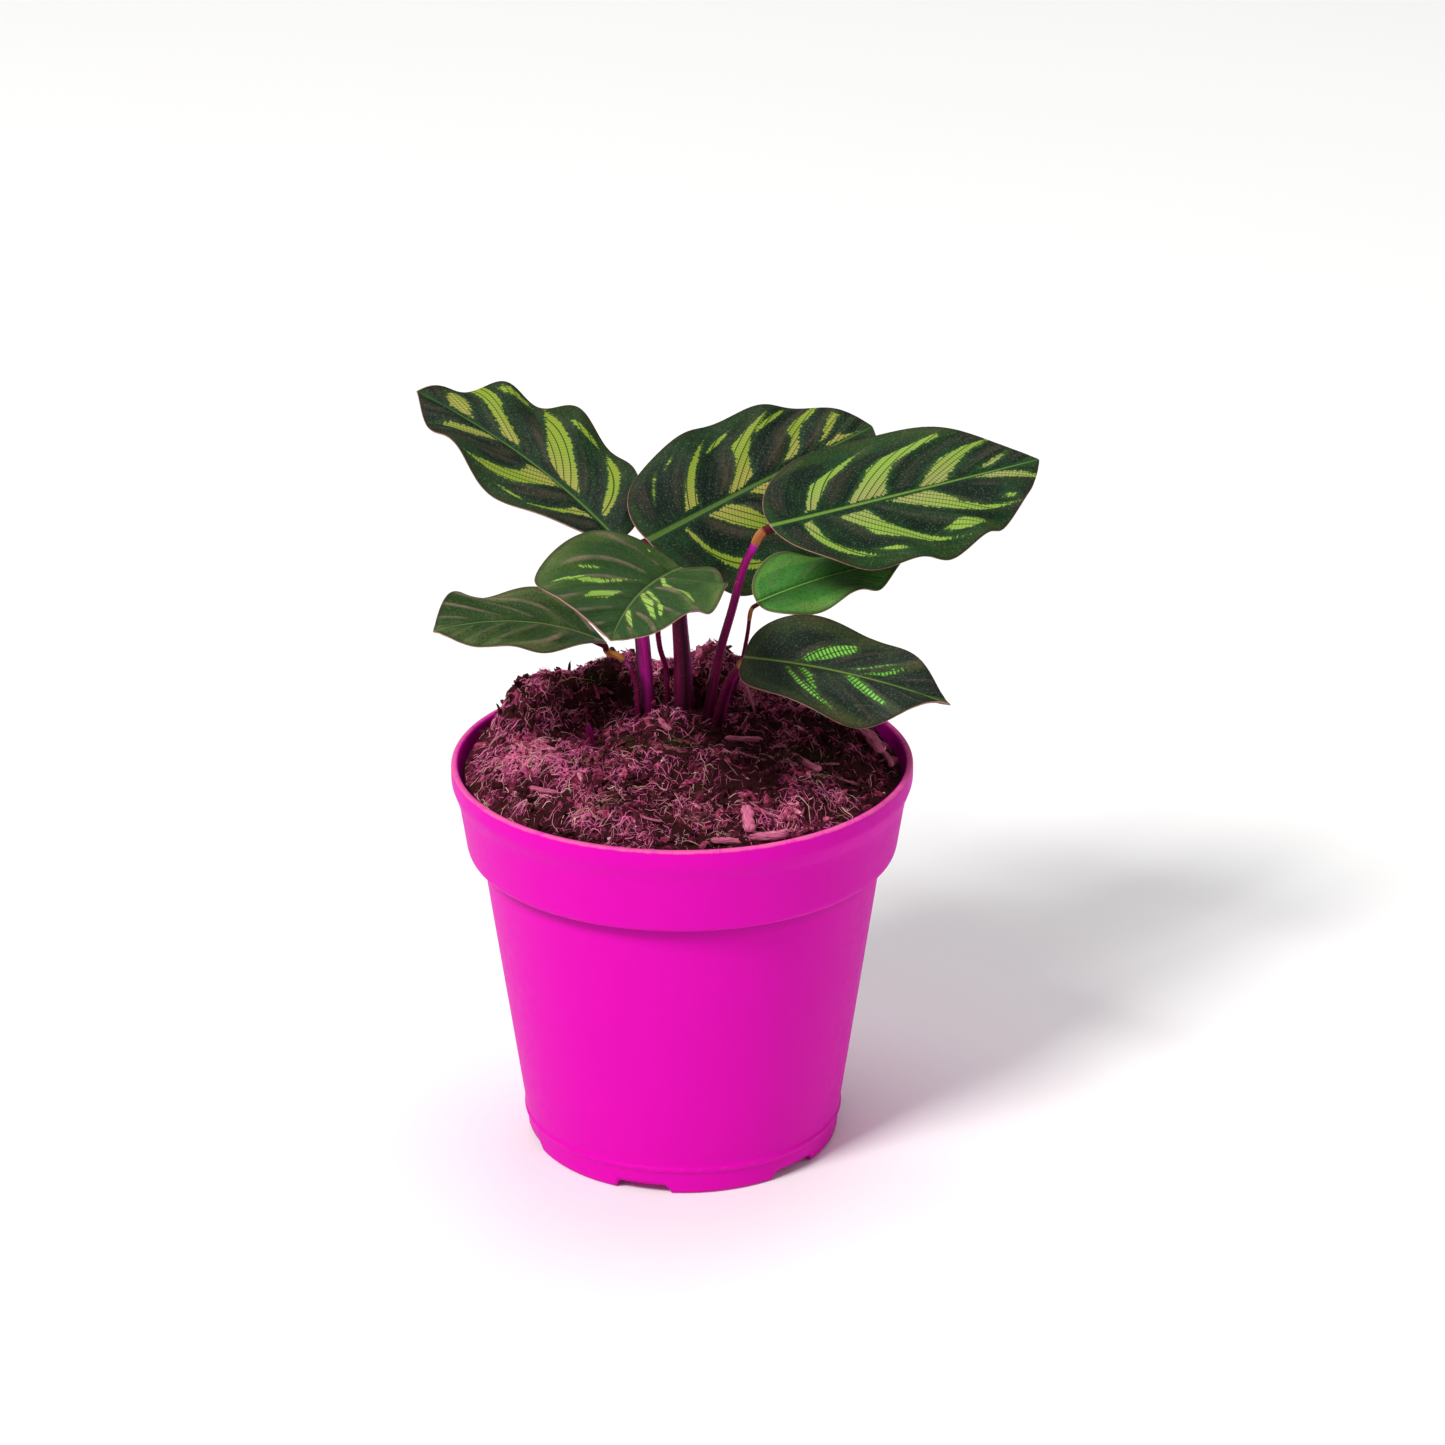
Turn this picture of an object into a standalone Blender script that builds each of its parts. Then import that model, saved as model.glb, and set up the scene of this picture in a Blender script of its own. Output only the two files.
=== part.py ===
"""A young calathea in a thin plastic nursery pot: seven leaves on their stalks, a shoot, heaped soil and the pot.

Z points up and the pot stands on z = 0. The front of the plant faces -Y.
Sizes are in millimetres up to the point where a mesh is filled, and MM turns them into metres.
"""

import math

import bmesh
import bpy
import numpy as np
from mathutils import Matrix, Vector, noise

MM = 0.001

# The pot
POT_SHIFT_X = -10.3
POT_SHIFT_Y = 3.8
POT_STEPS = 60
RIM_RADIUS = 51.9
RIM_TOP = 91.9
COLLAR_FOOT = 69.4
FLOOR_UNDER = 2.6
FLOOR_TOP = 3.8
NOTCH_COUNT = 6
NOTCH_FIRST_DEG = -105.0
NOTCH_WIDTH = 14.0
NOTCH_HEIGHT = 2.3
DRAIN_RADIUS = 3.0
DRAIN_CIRCLE = 25.0

# The outside of the pot from the lip down to the foot, as radius and height
POT_OUTSIDE = [
    (50.7, RIM_TOP), (51.5, RIM_TOP), (RIM_RADIUS, 91.4), (RIM_RADIUS, 87.4), (51.3, 86.0), (50.3, 84.6),
    (50.0, 82.5), (48.5, 71.0), (48.2, 69.9), (47.6, COLLAR_FOOT), (45.7, 69.1), (45.0, 68.5), (40.9, 39.0),
    (36.4, 7.2), (36.7, 6.8), (36.7, 6.0), (36.15, 5.6), (35.75, 1.0), (35.4, 0.3), (34.9, 0.0), (34.1, 0.0),
]
# The inside of the pot from the floor up to the lip
POT_INSIDE = [
    (33.9, FLOOR_TOP), (34.9, 5.2), (39.8, 39.0), (43.75, 68.9), (44.3, 70.2), (46.5, 70.5), (47.2, 71.2),
    (48.9, 83.2), (49.3, 85.4), (50.1, 88.4), (50.25, 91.4),
]

# The soil: its gap to the pot, its height at the pot's wall, its rise to the middle, and the clods on it
GAP = 0.3
SOIL_EDGE = 88.5
SOIL_RISE = 11.5
SOIL_RINGS = 13
CLOD_SIZE = 8.5
CLOD_HEIGHT = 1.5
# Mounds and hollows of the soil: x, y, reach in x, reach in y and height
MOUNDS = [
    (-1.2, 22.0, 22.0, 12.0, 6.5),
    (-36.0, 21.0, 11.0, 12.0, 8.0),
    (-17.2, 22.0, 9.0, 9.0, 4.5),
    (8.0, 21.0, 8.0, 9.0, 6.0),
    (34.8, 6.0, 12.0, 14.0, 3.5),
    (-29.2, -14.0, 14.0, 12.0, 2.0),
    (16.8, -24.0, 14.0, 10.0, 2.0),
    (-25.2, 3.0, 9.0, 5.0, -2.5),
]

# Bark chips that lie in the soil: x, y, length, width, thickness, heading and tilt in degrees
CHIPS = [
    (42.8, 1.0, 12.0, 2.6, 1.8, -56.0, 14.0),
    (45.3, -6.0, 7.0, 1.7, 1.4, -50.0, 10.0),
    (14.8, -43.0, 16.0, 2.2, 1.6, 3.0, 2.0),
    (14.3, -36.5, 9.0, 2.6, 1.6, 94.0, -16.0),
    (-3.7, -1.0, 6.5, 1.4, 1.1, -62.0, 12.0),
    (13.8, -8.0, 9.0, 1.3, 1.1, 8.0, 6.0),
]

# The blades.
# base: the point where the stalk meets the blade. heading, pitch and roll turn the whole blade, in degrees.
# droop bends the midrib down and bend turns it sideways, in degrees from base to tip.
# fold lifts both halves and arch lowers their edges. base_round and tip_taper shape the outline.
# lobe lets the base reach back past the stalk. sweep draws the side veins on toward the tip.
# uneven widens the left half. waves: height, count and start along the left edge, then the right edge.
BLADE_THICKNESS = 0.6
BLADE_ALONG = 20
BLADE_ACROSS = 8
BLADES = {
    "blade_upper_left": dict(
        base=(-14.5, 13.4, 139.2), heading=128.6, pitch=24.2, roll=-2.0, length=61.1, width=36.2, droop=3.3,
        bend=25.6, fold=11.1, arch=0.027, base_round=0.50, tip_taper=0.957, lobe=0.006, sweep=0.151,
        uneven=-0.036, waves=((2.75, 1.90, 0.18), (2.57, 3.56, -0.18)),
    ),
    "blade_back": dict(
        base=(-6.4, 8.4, 141.3), heading=49.9, pitch=4.7, roll=36.1, length=66.7, width=43.4, droop=-21.0,
        bend=-9.9, fold=0.8, arch=0.131, base_round=0.415, tip_taper=0.739, lobe=0.025, sweep=0.144,
        uneven=-0.092, waves=((1.78, 3.17, -0.64), (4.86, 3.14, 0.28)),
    ),
    "blade_right": dict(
        base=(19.5, -6.2, 149.4), heading=35.9, pitch=-0.5, roll=29.8, length=72.1, width=37.9, droop=-8.2,
        bend=-5.9, fold=4.6, arch=0.116, base_round=0.477, tip_taper=0.842, lobe=0.0, sweep=0.138,
        uneven=-0.005, waves=((1.40, 1.65, 0.17), (3.10, 3.86, 0.10)),
    ),
    "blade_front": dict(
        base=(-1.8, -4.3, 138.0), heading=-108.6, pitch=12.7, roll=-9.4, length=58.9, width=43.0, droop=10.6,
        bend=14.0, fold=21.4, arch=0.038, base_round=0.562, tip_taper=0.665, lobe=0.103, sweep=0.161,
        uneven=-0.032, waves=((1.80, 2.72, 0.14), (4.99, 0.80, 0.33)),
    ),
    "blade_lower_left": dict(
        base=(-16.6, 2.0, 118.8), heading=209.9, pitch=33.9, roll=-17.3, length=44.4, width=24.6, droop=39.6,
        bend=6.9, fold=7.5, arch=0.096, base_round=0.92, tip_taper=1.0, lobe=0.0, sweep=0.149,
        uneven=0.01, waves=((0.99, 2.14, -0.01), (2.83, 1.74, -0.11)),
    ),
    "blade_young": dict(
        base=(16.8, 1.5, 128.5), heading=18.1, pitch=19.0, roll=21.7, length=35.6, width=19.5, droop=24.6,
        bend=-1.1, fold=8.6, arch=0.084, base_round=0.382, tip_taper=0.84, lobe=0.0, sweep=0.145,
        uneven=0.02, waves=((3.96, 1.43, 0.12), (1.89, 2.02, 0.35)),
    ),
    "blade_lower_right": dict(
        base=(14.8, -12.0, 120.7), heading=-18.7, pitch=2.4, roll=27.7, length=46.1, width=26.2, droop=23.9,
        bend=-2.0, fold=7.6, arch=0.088, base_round=0.32, tip_taper=0.977, lobe=0.028, sweep=0.145,
        uneven=0.019, waves=((2.11, 1.67, 0.07), (4.84, 1.26, 0.12)),
    ),
}

# The stalks: the blade each carries, where it leaves the soil as x and y, points of its middle line above
# that, and its radius at the soil and at the blade. The shoot carries no blade, so its last point is its tip.
# Above the soil a stalk is straight for STALK_STRAIGHT, but for no more than STALK_SHARE of its first stretch.
STALK_DEPTH = 9.0
STALK_STRAIGHT = 4.0
STALK_SHARE = 0.6
STALK_STEPS = 14
STALK_SEAT = 2.2
STALK_APPROACH = (1.8, 0.0, 1.0)
STALKS = {
    "stalk_upper_left": dict(
        blade="blade_upper_left", foot=(-8.0, 7.0), radii=(1.65, 1.15),
        line=[(-8.4, 7.8, 110.0), (-8.8, 8.6, 117.0), (-9.9, 9.8, 126.0), (-12.0, 10.9, 133.0)],
    ),
    "stalk_back": dict(
        blade="blade_back", foot=(0.5, 7.0), radii=(2.05, 1.1),
        line=[(0.2, 7.4, 112.4), (-0.4, 7.6, 122.0), (-0.7, 8.0, 130.5), (-2.4, 8.4, 135.5)],
    ),
    "stalk_right": dict(
        blade="blade_right", foot=(5.7, 4.0), radii=(1.1, 0.9),
        line=[(8.4, 1.0, 116.2), (11.2, -2.0, 128.1), (13.6, -5.0, 139.0), (15.8, -6.8, 144.6)],
    ),
    "stalk_front": dict(
        blade="blade_front", foot=(-3.1, 9.0), radii=(0.6, 0.6),
        line=[(-3.5, 6.4, 111.1), (-4.8, 3.0, 117.2), (-5.2, 0.2, 124.0), (-4.0, -1.2, 131.0)],
    ),
    "stalk_lower_left": dict(
        blade="blade_lower_left", foot=(-9.8, 3.9), radii=(0.65, 0.6),
        line=[(-10.1, 3.7, 107.5), (-11.5, 3.2, 112.2), (-13.6, 2.8, 115.0)],
    ),
    "stalk_young": dict(
        blade="blade_young", foot=(10.7, 10.0), radii=(0.6, 0.55),
        line=[(12.1, 9.3, 105.4), (13.8, 7.2, 113.2), (14.8, 4.2, 120.3)],
    ),
    "stalk_lower_right": dict(
        blade="blade_lower_right", foot=(8.1, 0.8), radii=(1.35, 0.8),
        line=[(9.3, -1.4, 106.2), (10.8, -5.4, 112.6)],
    ),
    "shoot": dict(
        blade=None, foot=(-20.1, -3.0), radii=(0.9, 0.4),
        line=[(-20.9, -3.0, 100.8), (-21.5, -3.0, 103.8)],
    ),
}


def clear_scene():
    """Remove the scene's objects and collections."""
    for obj in list(bpy.data.objects):
        bpy.data.objects.remove(obj, do_unlink=True)
    for collection in list(bpy.data.collections):
        bpy.data.collections.remove(collection)


def new_collection(name):
    collection = bpy.data.collections.new(name)
    bpy.context.scene.collection.children.link(collection)
    return collection


def material(name, colour, roughness):
    """A Principled material that is no metal."""
    made = bpy.data.materials.new(name)
    made.use_nodes = True
    shader = made.node_tree.nodes["Principled BSDF"]
    shader.inputs["Base Color"].default_value = (*colour, 1.0)
    shader.inputs["Roughness"].default_value = roughness
    shader.inputs["Metallic"].default_value = 0.0
    made.diffuse_color = (*colour, 1.0)
    return made


def new_object(name, mesh, collection, mat=None):
    obj = bpy.data.objects.new(name, mesh)
    collection.objects.link(obj)
    if mat:
        mesh.materials.clear()
        mesh.materials.append(mat)
    return obj


def helper(name, mesh, collection):
    """An object that only cuts or joins another, and isn't rendered."""
    obj = new_object(name, mesh, collection)
    obj.hide_render = True
    obj.display_type = "WIRE"
    return obj


def mesh_from(name, bm):
    """A mesh with its faces outward, from a bmesh in millimetres."""
    bm.normal_update()
    bmesh.ops.recalc_face_normals(bm, faces=bm.faces)
    bm.transform(Matrix.Scale(MM, 4))
    mesh = bpy.data.meshes.new(name)
    bm.to_mesh(mesh)
    bm.free()
    return mesh


def apply_modifiers(obj):
    """Replace the object's mesh with what its modifiers make of it."""
    graph = bpy.context.evaluated_depsgraph_get()
    mesh = bpy.data.meshes.new_from_object(obj.evaluated_get(graph), depsgraph=graph)
    obj.modifiers.clear()
    obj.data = mesh


def combine(obj, operation, helpers):
    """Cut or join a collection of helpers, and remove them."""
    modifier = obj.modifiers.new(operation.lower(), "BOOLEAN")
    modifier.operation = operation
    modifier.operand_type = "COLLECTION"
    modifier.collection = helpers
    modifier.solver = "EXACT"
    apply_modifiers(obj)
    for made in list(helpers.objects):
        bpy.data.objects.remove(made, do_unlink=True)


def turned(profile, steps):
    """A bmesh of a profile of (radius, height) turned about Z, from the axis back to the axis."""
    mesh = bpy.data.meshes.new("profile")
    points = [(radius, 0.0, height) for radius, height in profile]
    mesh.from_pydata(points, [(k, k + 1) for k in range(len(points) - 1)], [])
    bm = bmesh.new()
    bm.from_mesh(mesh)
    bpy.data.meshes.remove(mesh)
    bmesh.ops.spin(
        bm, geom=bm.verts[:] + bm.edges[:], cent=(0, 0, 0), axis=(0, 0, 1), angle=math.tau,
        steps=steps, use_merge=True,
    )
    bmesh.ops.remove_doubles(bm, verts=bm.verts, dist=0.0005)
    return bm


def make_pot(plastic, kept, cutters):
    """The thin pot: lip, collar, tapered body, bead and a foot ring with notches and drain holes."""
    profile = [(0.0, FLOOR_TOP), *POT_INSIDE, *POT_OUTSIDE, (33.9, 0.3), (33.9, FLOOR_UNDER), (0.0, FLOOR_UNDER)]
    pot = new_object("pot", mesh_from("pot", turned(profile, POT_STEPS)), kept, plastic)
    for k in range(NOTCH_COUNT):
        angle = math.radians(NOTCH_FIRST_DEG + 360.0 / NOTCH_COUNT * k)
        turn = Matrix.Rotation(angle, 4, "Z")
        bm = bmesh.new()
        bmesh.ops.create_cube(bm, size=1.0)
        for vert in bm.verts:
            slant = NOTCH_HEIGHT + 1.0 if vert.co.z > 0 else 0.0
            vert.co = Vector((
                35.0 + 4.0 * vert.co.x,
                (NOTCH_WIDTH - slant) * vert.co.y,
                NOTCH_HEIGHT if vert.co.z > 0 else -1.0,
            ))
        bm.transform(turn)
        helper("notch", mesh_from("notch", bm), cutters)
        bm = bmesh.new()
        place = turn @ Matrix.Translation((DRAIN_CIRCLE, 0, FLOOR_TOP))
        bmesh.ops.create_cone(
            bm, cap_ends=True, segments=12, radius1=DRAIN_RADIUS, radius2=DRAIN_RADIUS, depth=6.0,
            matrix=place,
        )
        helper("drain", mesh_from("drain", bm), cutters)
    combine(pot, "DIFFERENCE", cutters)


def soil_height(x, y):
    """Height of the soil in millimetres at a point, seen from above: a dome, mounds and clods."""
    inside = max(0.0, 1.0 - (x * x + y * y) / 49.5**2)
    height = SOIL_EDGE + SOIL_RISE * inside**0.8
    for at_x, at_y, reach_x, reach_y, rise in MOUNDS:
        away = ((x - at_x) / reach_x) ** 2 + ((y - at_y) / reach_y) ** 2
        height += rise * math.exp(-away) * min(1.0, 4.0 * inside)
    clod = noise.noise(Vector((x / CLOD_SIZE, y / CLOD_SIZE, 3.7)))
    clod += 0.5 * noise.noise(Vector((x / CLOD_SIZE * 2.1, y / CLOD_SIZE * 2.1, 8.1)))
    return height + CLOD_HEIGHT * clod * min(1.0, 6.0 * inside)


def make_soil(earth, kept, cutters):
    """The soil: it fills the pot, heaps up above the lip and holds the bark chips and the stalk holes."""
    wall = [(radius - GAP - 0.02, height + GAP) for radius, height in POT_INSIDE if height < SOIL_EDGE - 1.0]
    low, high = POT_INSIDE[-3], POT_INSIDE[-2]
    share = (SOIL_EDGE - low[1]) / (high[1] - low[1])
    edge = low[0] + share * (high[0] - low[0]) - GAP - 0.02
    top = [(edge * k / SOIL_RINGS, SOIL_EDGE) for k in range(SOIL_RINGS, -1, -1)]
    bm = turned([(0.0, FLOOR_TOP + GAP), *wall, *top], POT_STEPS)
    for vert in bm.verts:
        if vert.co.z > SOIL_EDGE - 0.01:
            vert.co.z = soil_height(vert.co.x, vert.co.y)
    soil = new_object("soil", mesh_from("soil", bm), kept, earth)

    for x, y, length, width, thickness, heading, tilt in CHIPS:
        bm = bmesh.new()
        bmesh.ops.create_cube(bm, size=1.0)
        bmesh.ops.bevel(bm, geom=bm.edges[:], offset=0.12, segments=1, affect="EDGES")
        bm.transform(Matrix.Diagonal((length, width, thickness, 1.0)))
        place = Matrix.Translation((x, y, soil_height(x, y) + 0.3 * thickness))
        turn = Matrix.Rotation(math.radians(heading), 4, "Z") @ Matrix.Rotation(math.radians(tilt), 4, "Y")
        bm.transform(place @ turn)
        helper("chip", mesh_from("chip", bm), cutters)
    combine(soil, "UNION", cutters)

    for name, stalk in STALKS.items():
        foot, down = stalk_foot(stalk)
        radius = stalk["radii"][0] + GAP
        start, end = foot + down * (STALK_DEPTH + GAP), foot - down * (STALK_STRAIGHT + 2.0)
        bm = bmesh.new()
        bmesh.ops.create_cone(
            bm, cap_ends=True, segments=16, radius1=radius, radius2=radius, depth=(end - start).length,
        )
        turn = (end - start).to_track_quat("Z", "X").to_matrix().to_4x4()
        bm.transform(Matrix.Translation((start + end) / 2) @ turn)
        helper("hole", mesh_from("hole", bm), cutters)
    combine(soil, "DIFFERENCE", cutters)


def blade_surface(u, v, blade):
    """Points of the blade's middle sheet. u runs from base to tip, and v from the right edge, -1, to the left, 1.

    The half width grows and shrinks as u to the power base_round times 1 - u to the power tip_taper. Lines of
    one u bow toward the tip as the side veins do. The midrib is an arc that droops, with a sideways bend.
    """
    length, half = blade["length"], blade["width"] / 2
    side = np.abs(v)
    rise, fall = blade["base_round"], blade["tip_taper"]
    peak = rise / (rise + fall)
    inner = np.clip(u, 1e-9, 1 - 1e-9)
    share = inner**rise * (1 - inner) ** fall / (peak**rise * (1 - peak) ** fall)
    share = np.where((u <= 0) | (u >= 1), 0.0, share)
    reach = blade["sweep"] * 4 * u * (1 - u) * (1 - 0.35 * u) - blade["lobe"] * (1 - u) ** 6
    along = np.clip(u + reach * side**1.4, -0.3, 1.1)
    across = v * half * share * (1 + blade["uneven"] * np.sign(v))

    droop, bend = math.radians(blade["droop"]), math.radians(blade["bend"])
    midrib = np.stack([
        length * np.sin(droop * along) / droop,
        0.5 * bend * length * along**2,
        -length * (1 - np.cos(droop * along)) / droop,
    ], -1)
    tangent = np.stack([np.cos(droop * along), bend * along, -np.sin(droop * along)], -1)
    tangent /= np.linalg.norm(tangent, axis=-1, keepdims=True)
    normal = np.stack([np.sin(droop * along), 0 * along, np.cos(droop * along)], -1)
    sideways = np.cross(normal, tangent)

    fold = math.radians(blade["fold"])
    lift = np.abs(across) * math.sin(fold) - blade["arch"] * half * share * v**2
    left, right = blade["waves"]
    height, count, start = (np.where(v > 0, a, b) for a, b in zip(left, right))
    calm = np.sqrt(np.sin(np.pi * np.clip(u, 0, 1)))
    lift = lift + height * side**2.2 * np.sin(2 * np.pi * (count * u + start)) * calm
    points = midrib + sideways * (across * math.cos(fold))[..., None] + normal * lift[..., None]
    return points @ blade_turn(blade).T + np.array(blade["base"])


def blade_turn(blade):
    """The rotation of a blade as a 3 by 3 array: roll about its midrib, then pitch, then heading."""
    turn = (
        Matrix.Rotation(math.radians(blade["heading"]), 3, "Z")
        @ Matrix.Rotation(math.radians(-blade["pitch"]), 3, "Y")
        @ Matrix.Rotation(math.radians(blade["roll"]), 3, "X")
    )
    return np.array(turn)


def make_blade(name, blade, green, kept):
    """One blade: a grid laid on the blade's sheet, split into triangles, and thickened to both sides."""
    bm = bmesh.new()
    bmesh.ops.create_grid(bm, x_segments=BLADE_ALONG, y_segments=BLADE_ACROSS, size=1.0)
    grid = np.array([vert.co for vert in bm.verts])
    u = 0.5 - 0.5 * np.cos(np.pi * (grid[:, 0] + 1) / 2)
    for vert, point in zip(bm.verts, blade_surface(u, grid[:, 1], blade)):
        vert.co = point
    bmesh.ops.remove_doubles(bm, verts=bm.verts, dist=0.01)
    bmesh.ops.triangulate(bm, faces=bm.faces, quad_method="FIXED")
    bm.transform(Matrix.Scale(MM, 4))
    mesh = bpy.data.meshes.new(name)
    bm.to_mesh(mesh)
    bm.free()
    obj = new_object(name, mesh, kept, green)
    solid = obj.modifiers.new("thickness", "SOLIDIFY")
    solid.thickness = BLADE_THICKNESS * MM
    solid.offset = 0.0
    apply_modifiers(obj)


def stalk_foot(stalk):
    """The point where a stalk leaves the soil, and the way down along it."""
    x, y = stalk["foot"]
    foot = Vector((x, y, soil_height(x, y)))
    return foot, (foot - Vector(stalk["line"][0])).normalized()


def smooth(points, steps):
    """Points along a curve that passes through all of the given points."""
    points = np.array(points, float)
    padded = np.vstack([2 * points[0] - points[1], points, 2 * points[-1] - points[-2]])
    chords = np.linalg.norm(np.diff(points, axis=0), axis=1)
    places = np.concatenate([[0], np.cumsum(chords)]) / chords.sum()
    made = []
    for share in np.linspace(0, 1, steps):
        k = min(max(int(np.searchsorted(places, share, side="right")) - 1, 0), len(points) - 2)
        t = (share - places[k]) / (places[k + 1] - places[k])
        before, a, b, after = padded[k : k + 4]
        made.append(0.5 * (
            2 * a + (b - before) * t + (2 * before - 5 * a + 4 * b - after) * t**2
            + (3 * a - before - 3 * b + after) * t**3
        ))
    return made


def make_stalk(name, stalk, purple, kept):
    """One stalk: it stands in its hole and runs up to its end just under the blade's midrib."""
    foot, down = stalk_foot(stalk)
    straight = min(STALK_STRAIGHT, STALK_SHARE * (Vector(stalk["line"][0]) - foot).length)
    points = [foot - down * straight, *map(Vector, stalk["line"])]
    if stalk["blade"]:
        blade = BLADES[stalk["blade"]]
        turn = blade_turn(blade)
        under = (BLADE_THICKNESS / 2 + GAP + 0.1 + stalk["radii"][1]) * turn[:, 2]
        seat = np.array(blade["base"]) - under
        approach = seat - turn @ np.array(STALK_APPROACH)
        points += [Vector(approach), Vector(seat), Vector(seat + STALK_SEAT * turn[:, 0])]
    line = [foot + down * STALK_DEPTH, foot, *map(Vector, smooth(points, STALK_STEPS))]
    run = np.concatenate([[0], np.cumsum([(b - a).length for a, b in zip(line, line[1:])])])
    curve = bpy.data.curves.new(name, "CURVE")
    curve.dimensions = "3D"
    curve.bevel_depth = MM
    curve.bevel_resolution = 2
    curve.use_fill_caps = True
    spline = curve.splines.new("POLY")
    spline.points.add(len(line) - 1)
    low, high = stalk["radii"]
    for point, place, gone in zip(spline.points, line, run):
        point.co = (*(place * MM), 1.0)
        past = max(0.0, gone - STALK_DEPTH - straight) / (run[-1] - STALK_DEPTH - straight)
        point.radius = low + (high - low) * past**0.7
    holder = helper("stalk_line", curve, kept)
    graph = bpy.context.evaluated_depsgraph_get()
    mesh = bpy.data.meshes.new_from_object(holder.evaluated_get(graph), depsgraph=graph)
    bpy.data.objects.remove(holder, do_unlink=True)
    bm = bmesh.new()
    bm.from_mesh(mesh)
    bmesh.ops.remove_doubles(bm, verts=bm.verts, dist=0.00002)
    bmesh.ops.recalc_face_normals(bm, faces=bm.faces)
    bm.to_mesh(mesh)
    bm.free()
    mesh.name = name
    new_object(name, mesh, kept, purple)


def main():
    clear_scene()
    kept = new_collection("potted_calathea")
    cutters = new_collection("cutters")
    plastic = material("pot_plastic", (0.80, 0.005, 0.58), 0.42)
    earth = material("potting_soil", (0.030, 0.009, 0.013), 0.95)
    leaf = material("leaf_green", (0.030, 0.085, 0.030), 0.45)
    young_leaf = material("young_leaf_green", (0.045, 0.25, 0.035), 0.40)
    purple = material("stalk_purple", (0.25, 0.01, 0.13), 0.45)

    make_pot(plastic, kept, cutters)
    make_soil(earth, kept, cutters)
    for name, blade in BLADES.items():
        make_blade(name, blade, young_leaf if name == "blade_young" else leaf, kept)
    for name, stalk in STALKS.items():
        make_stalk(name, stalk, purple, kept)
    for obj in kept.objects:
        obj.data.transform(Matrix.Translation((POT_SHIFT_X * MM, POT_SHIFT_Y * MM, 0)))


main()
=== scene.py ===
"""The finished look of a young calathea in its nursery pot: pot, soil, seven leaves, their stalks and a shoot.

Lengths are in millimetres from the pot's own axis, up to the point where a mesh is filled: there they are moved
by POT_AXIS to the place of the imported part, and MM turns them into metres. Z points up, the front faces -Y.
A leaf has two coordinates of its own: along, which is 0 at its base and 1 at its tip, and out, which is 0 on the
midrib, 1 at the widest half width to the left, and -1 to the right.
"""

import math

import bmesh
import bpy
import numpy as np
from mathutils import Matrix


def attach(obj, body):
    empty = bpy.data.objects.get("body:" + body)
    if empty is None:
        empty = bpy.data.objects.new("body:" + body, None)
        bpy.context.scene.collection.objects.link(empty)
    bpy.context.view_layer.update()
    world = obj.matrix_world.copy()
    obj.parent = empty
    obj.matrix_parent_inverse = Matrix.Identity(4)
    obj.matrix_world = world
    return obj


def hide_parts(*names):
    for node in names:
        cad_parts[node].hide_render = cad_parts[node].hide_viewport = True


MM = 0.001
POT_AXIS = np.array([-10.3, 3.8, 0.0])
CHANCE = np.random.default_rng(41)

# The camera of the photograph: focal length in picture widths, distance, elevation, height of its aim and yaw
CAMERA_FOCAL = 4461.275 / 1445
CAMERA_DISTANCE = 1000.0
CAMERA_ELEVATION = math.radians(22.629)
CAMERA_AIM = 100.339
CAMERA_YAW = -0.0099
SENSOR = 36.0

# The pot, as radius and height. It is the solid part's, but for its collar, which ends 1.7 mm higher and flares
# a little more softly, to sit as in the photograph. The foot ring is given by its inner and middle radius.
RIM_TOP = 91.9
COLLAR_FOOT = 71.1
FLOOR_UNDER = 2.6
FLOOR_TOP = 3.8
FOOT_INSIDE = 33.9
FOOT_MIDDLE = 35.0
POT_OUTSIDE = [
    (50.7, RIM_TOP), (51.5, RIM_TOP), (51.9, 91.4), (51.9, 88.0), (51.3, 86.2), (50.5, 84.2),
    (50.0, 81.5), (48.7, 72.6), (48.4, 71.6), (47.8, COLLAR_FOOT), (45.9, 70.9), (45.3, 70.3), (40.9, 39.0),
    (36.4, 7.2), (36.7, 6.8), (36.7, 6.0), (36.15, 5.6), (35.75, 1.0), (35.4, 0.3), (34.9, 0.0), (34.1, 0.0),
]
POT_INSIDE = [
    (FOOT_INSIDE, FLOOR_TOP), (34.9, 5.2), (39.8, 39.0), (44.0, 70.6), (44.6, 71.9), (46.7, 72.2), (47.4, 72.9),
    (48.9, 83.2), (49.3, 85.4), (50.1, 88.4), (50.25, 91.4),
]
# The notches in the foot ring: directions, half width, the run of their slanted sides, and height
NOTCH_DEGREES = -105.0 + 60.0 * np.arange(6)
NOTCH_HALF = 6.5
NOTCH_SLANT = 1.15
NOTCH_HEIGHT = 2.3
DRAIN_RADIUS = 3.0
DRAIN_CIRCLE = 25.0
# How finely the pot is drawn: the reach of a rounded corner, the longest step of the profile and the degrees from
# one profile to the next. Then how far its lip leaves the circle, in two waves round it and again in five.
POT_CORNER = 0.60
POT_STEP = 2.6
POT_TURN = 1.5
POT_WAVE = 0.10

# The soil: its height at the wall, its rise to the middle, the radius of its top, its gap from the wall and its
# lift off the floor. Then the radii at which its dome and its lumps die out.
SOIL_EDGE = 88.5
SOIL_RISE = 11.5
SOIL_RADIUS = 49.6
SOIL_GAP = 0.32
SOIL_LIFT = 0.3
DOME_RADIUS = 49.5
LUMP_RADIUS = 49.8
# How far from the axis the loose pieces may start, and how far out threads and crumbs may reach
TUFT_START = 46.0
CHIP_START = 46.0
FIBRE_START = 47.0
CRUMB_START = 48.2
FIBRE_LIMIT = 48.6
CRUMB_LIMIT = 48.8
# Where every eighth tuft of threads stands: the middle and the spread of the pale mound at the left
PALE_MOUND = ((-35.0, -12.0), (7.0, 9.0))
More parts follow.
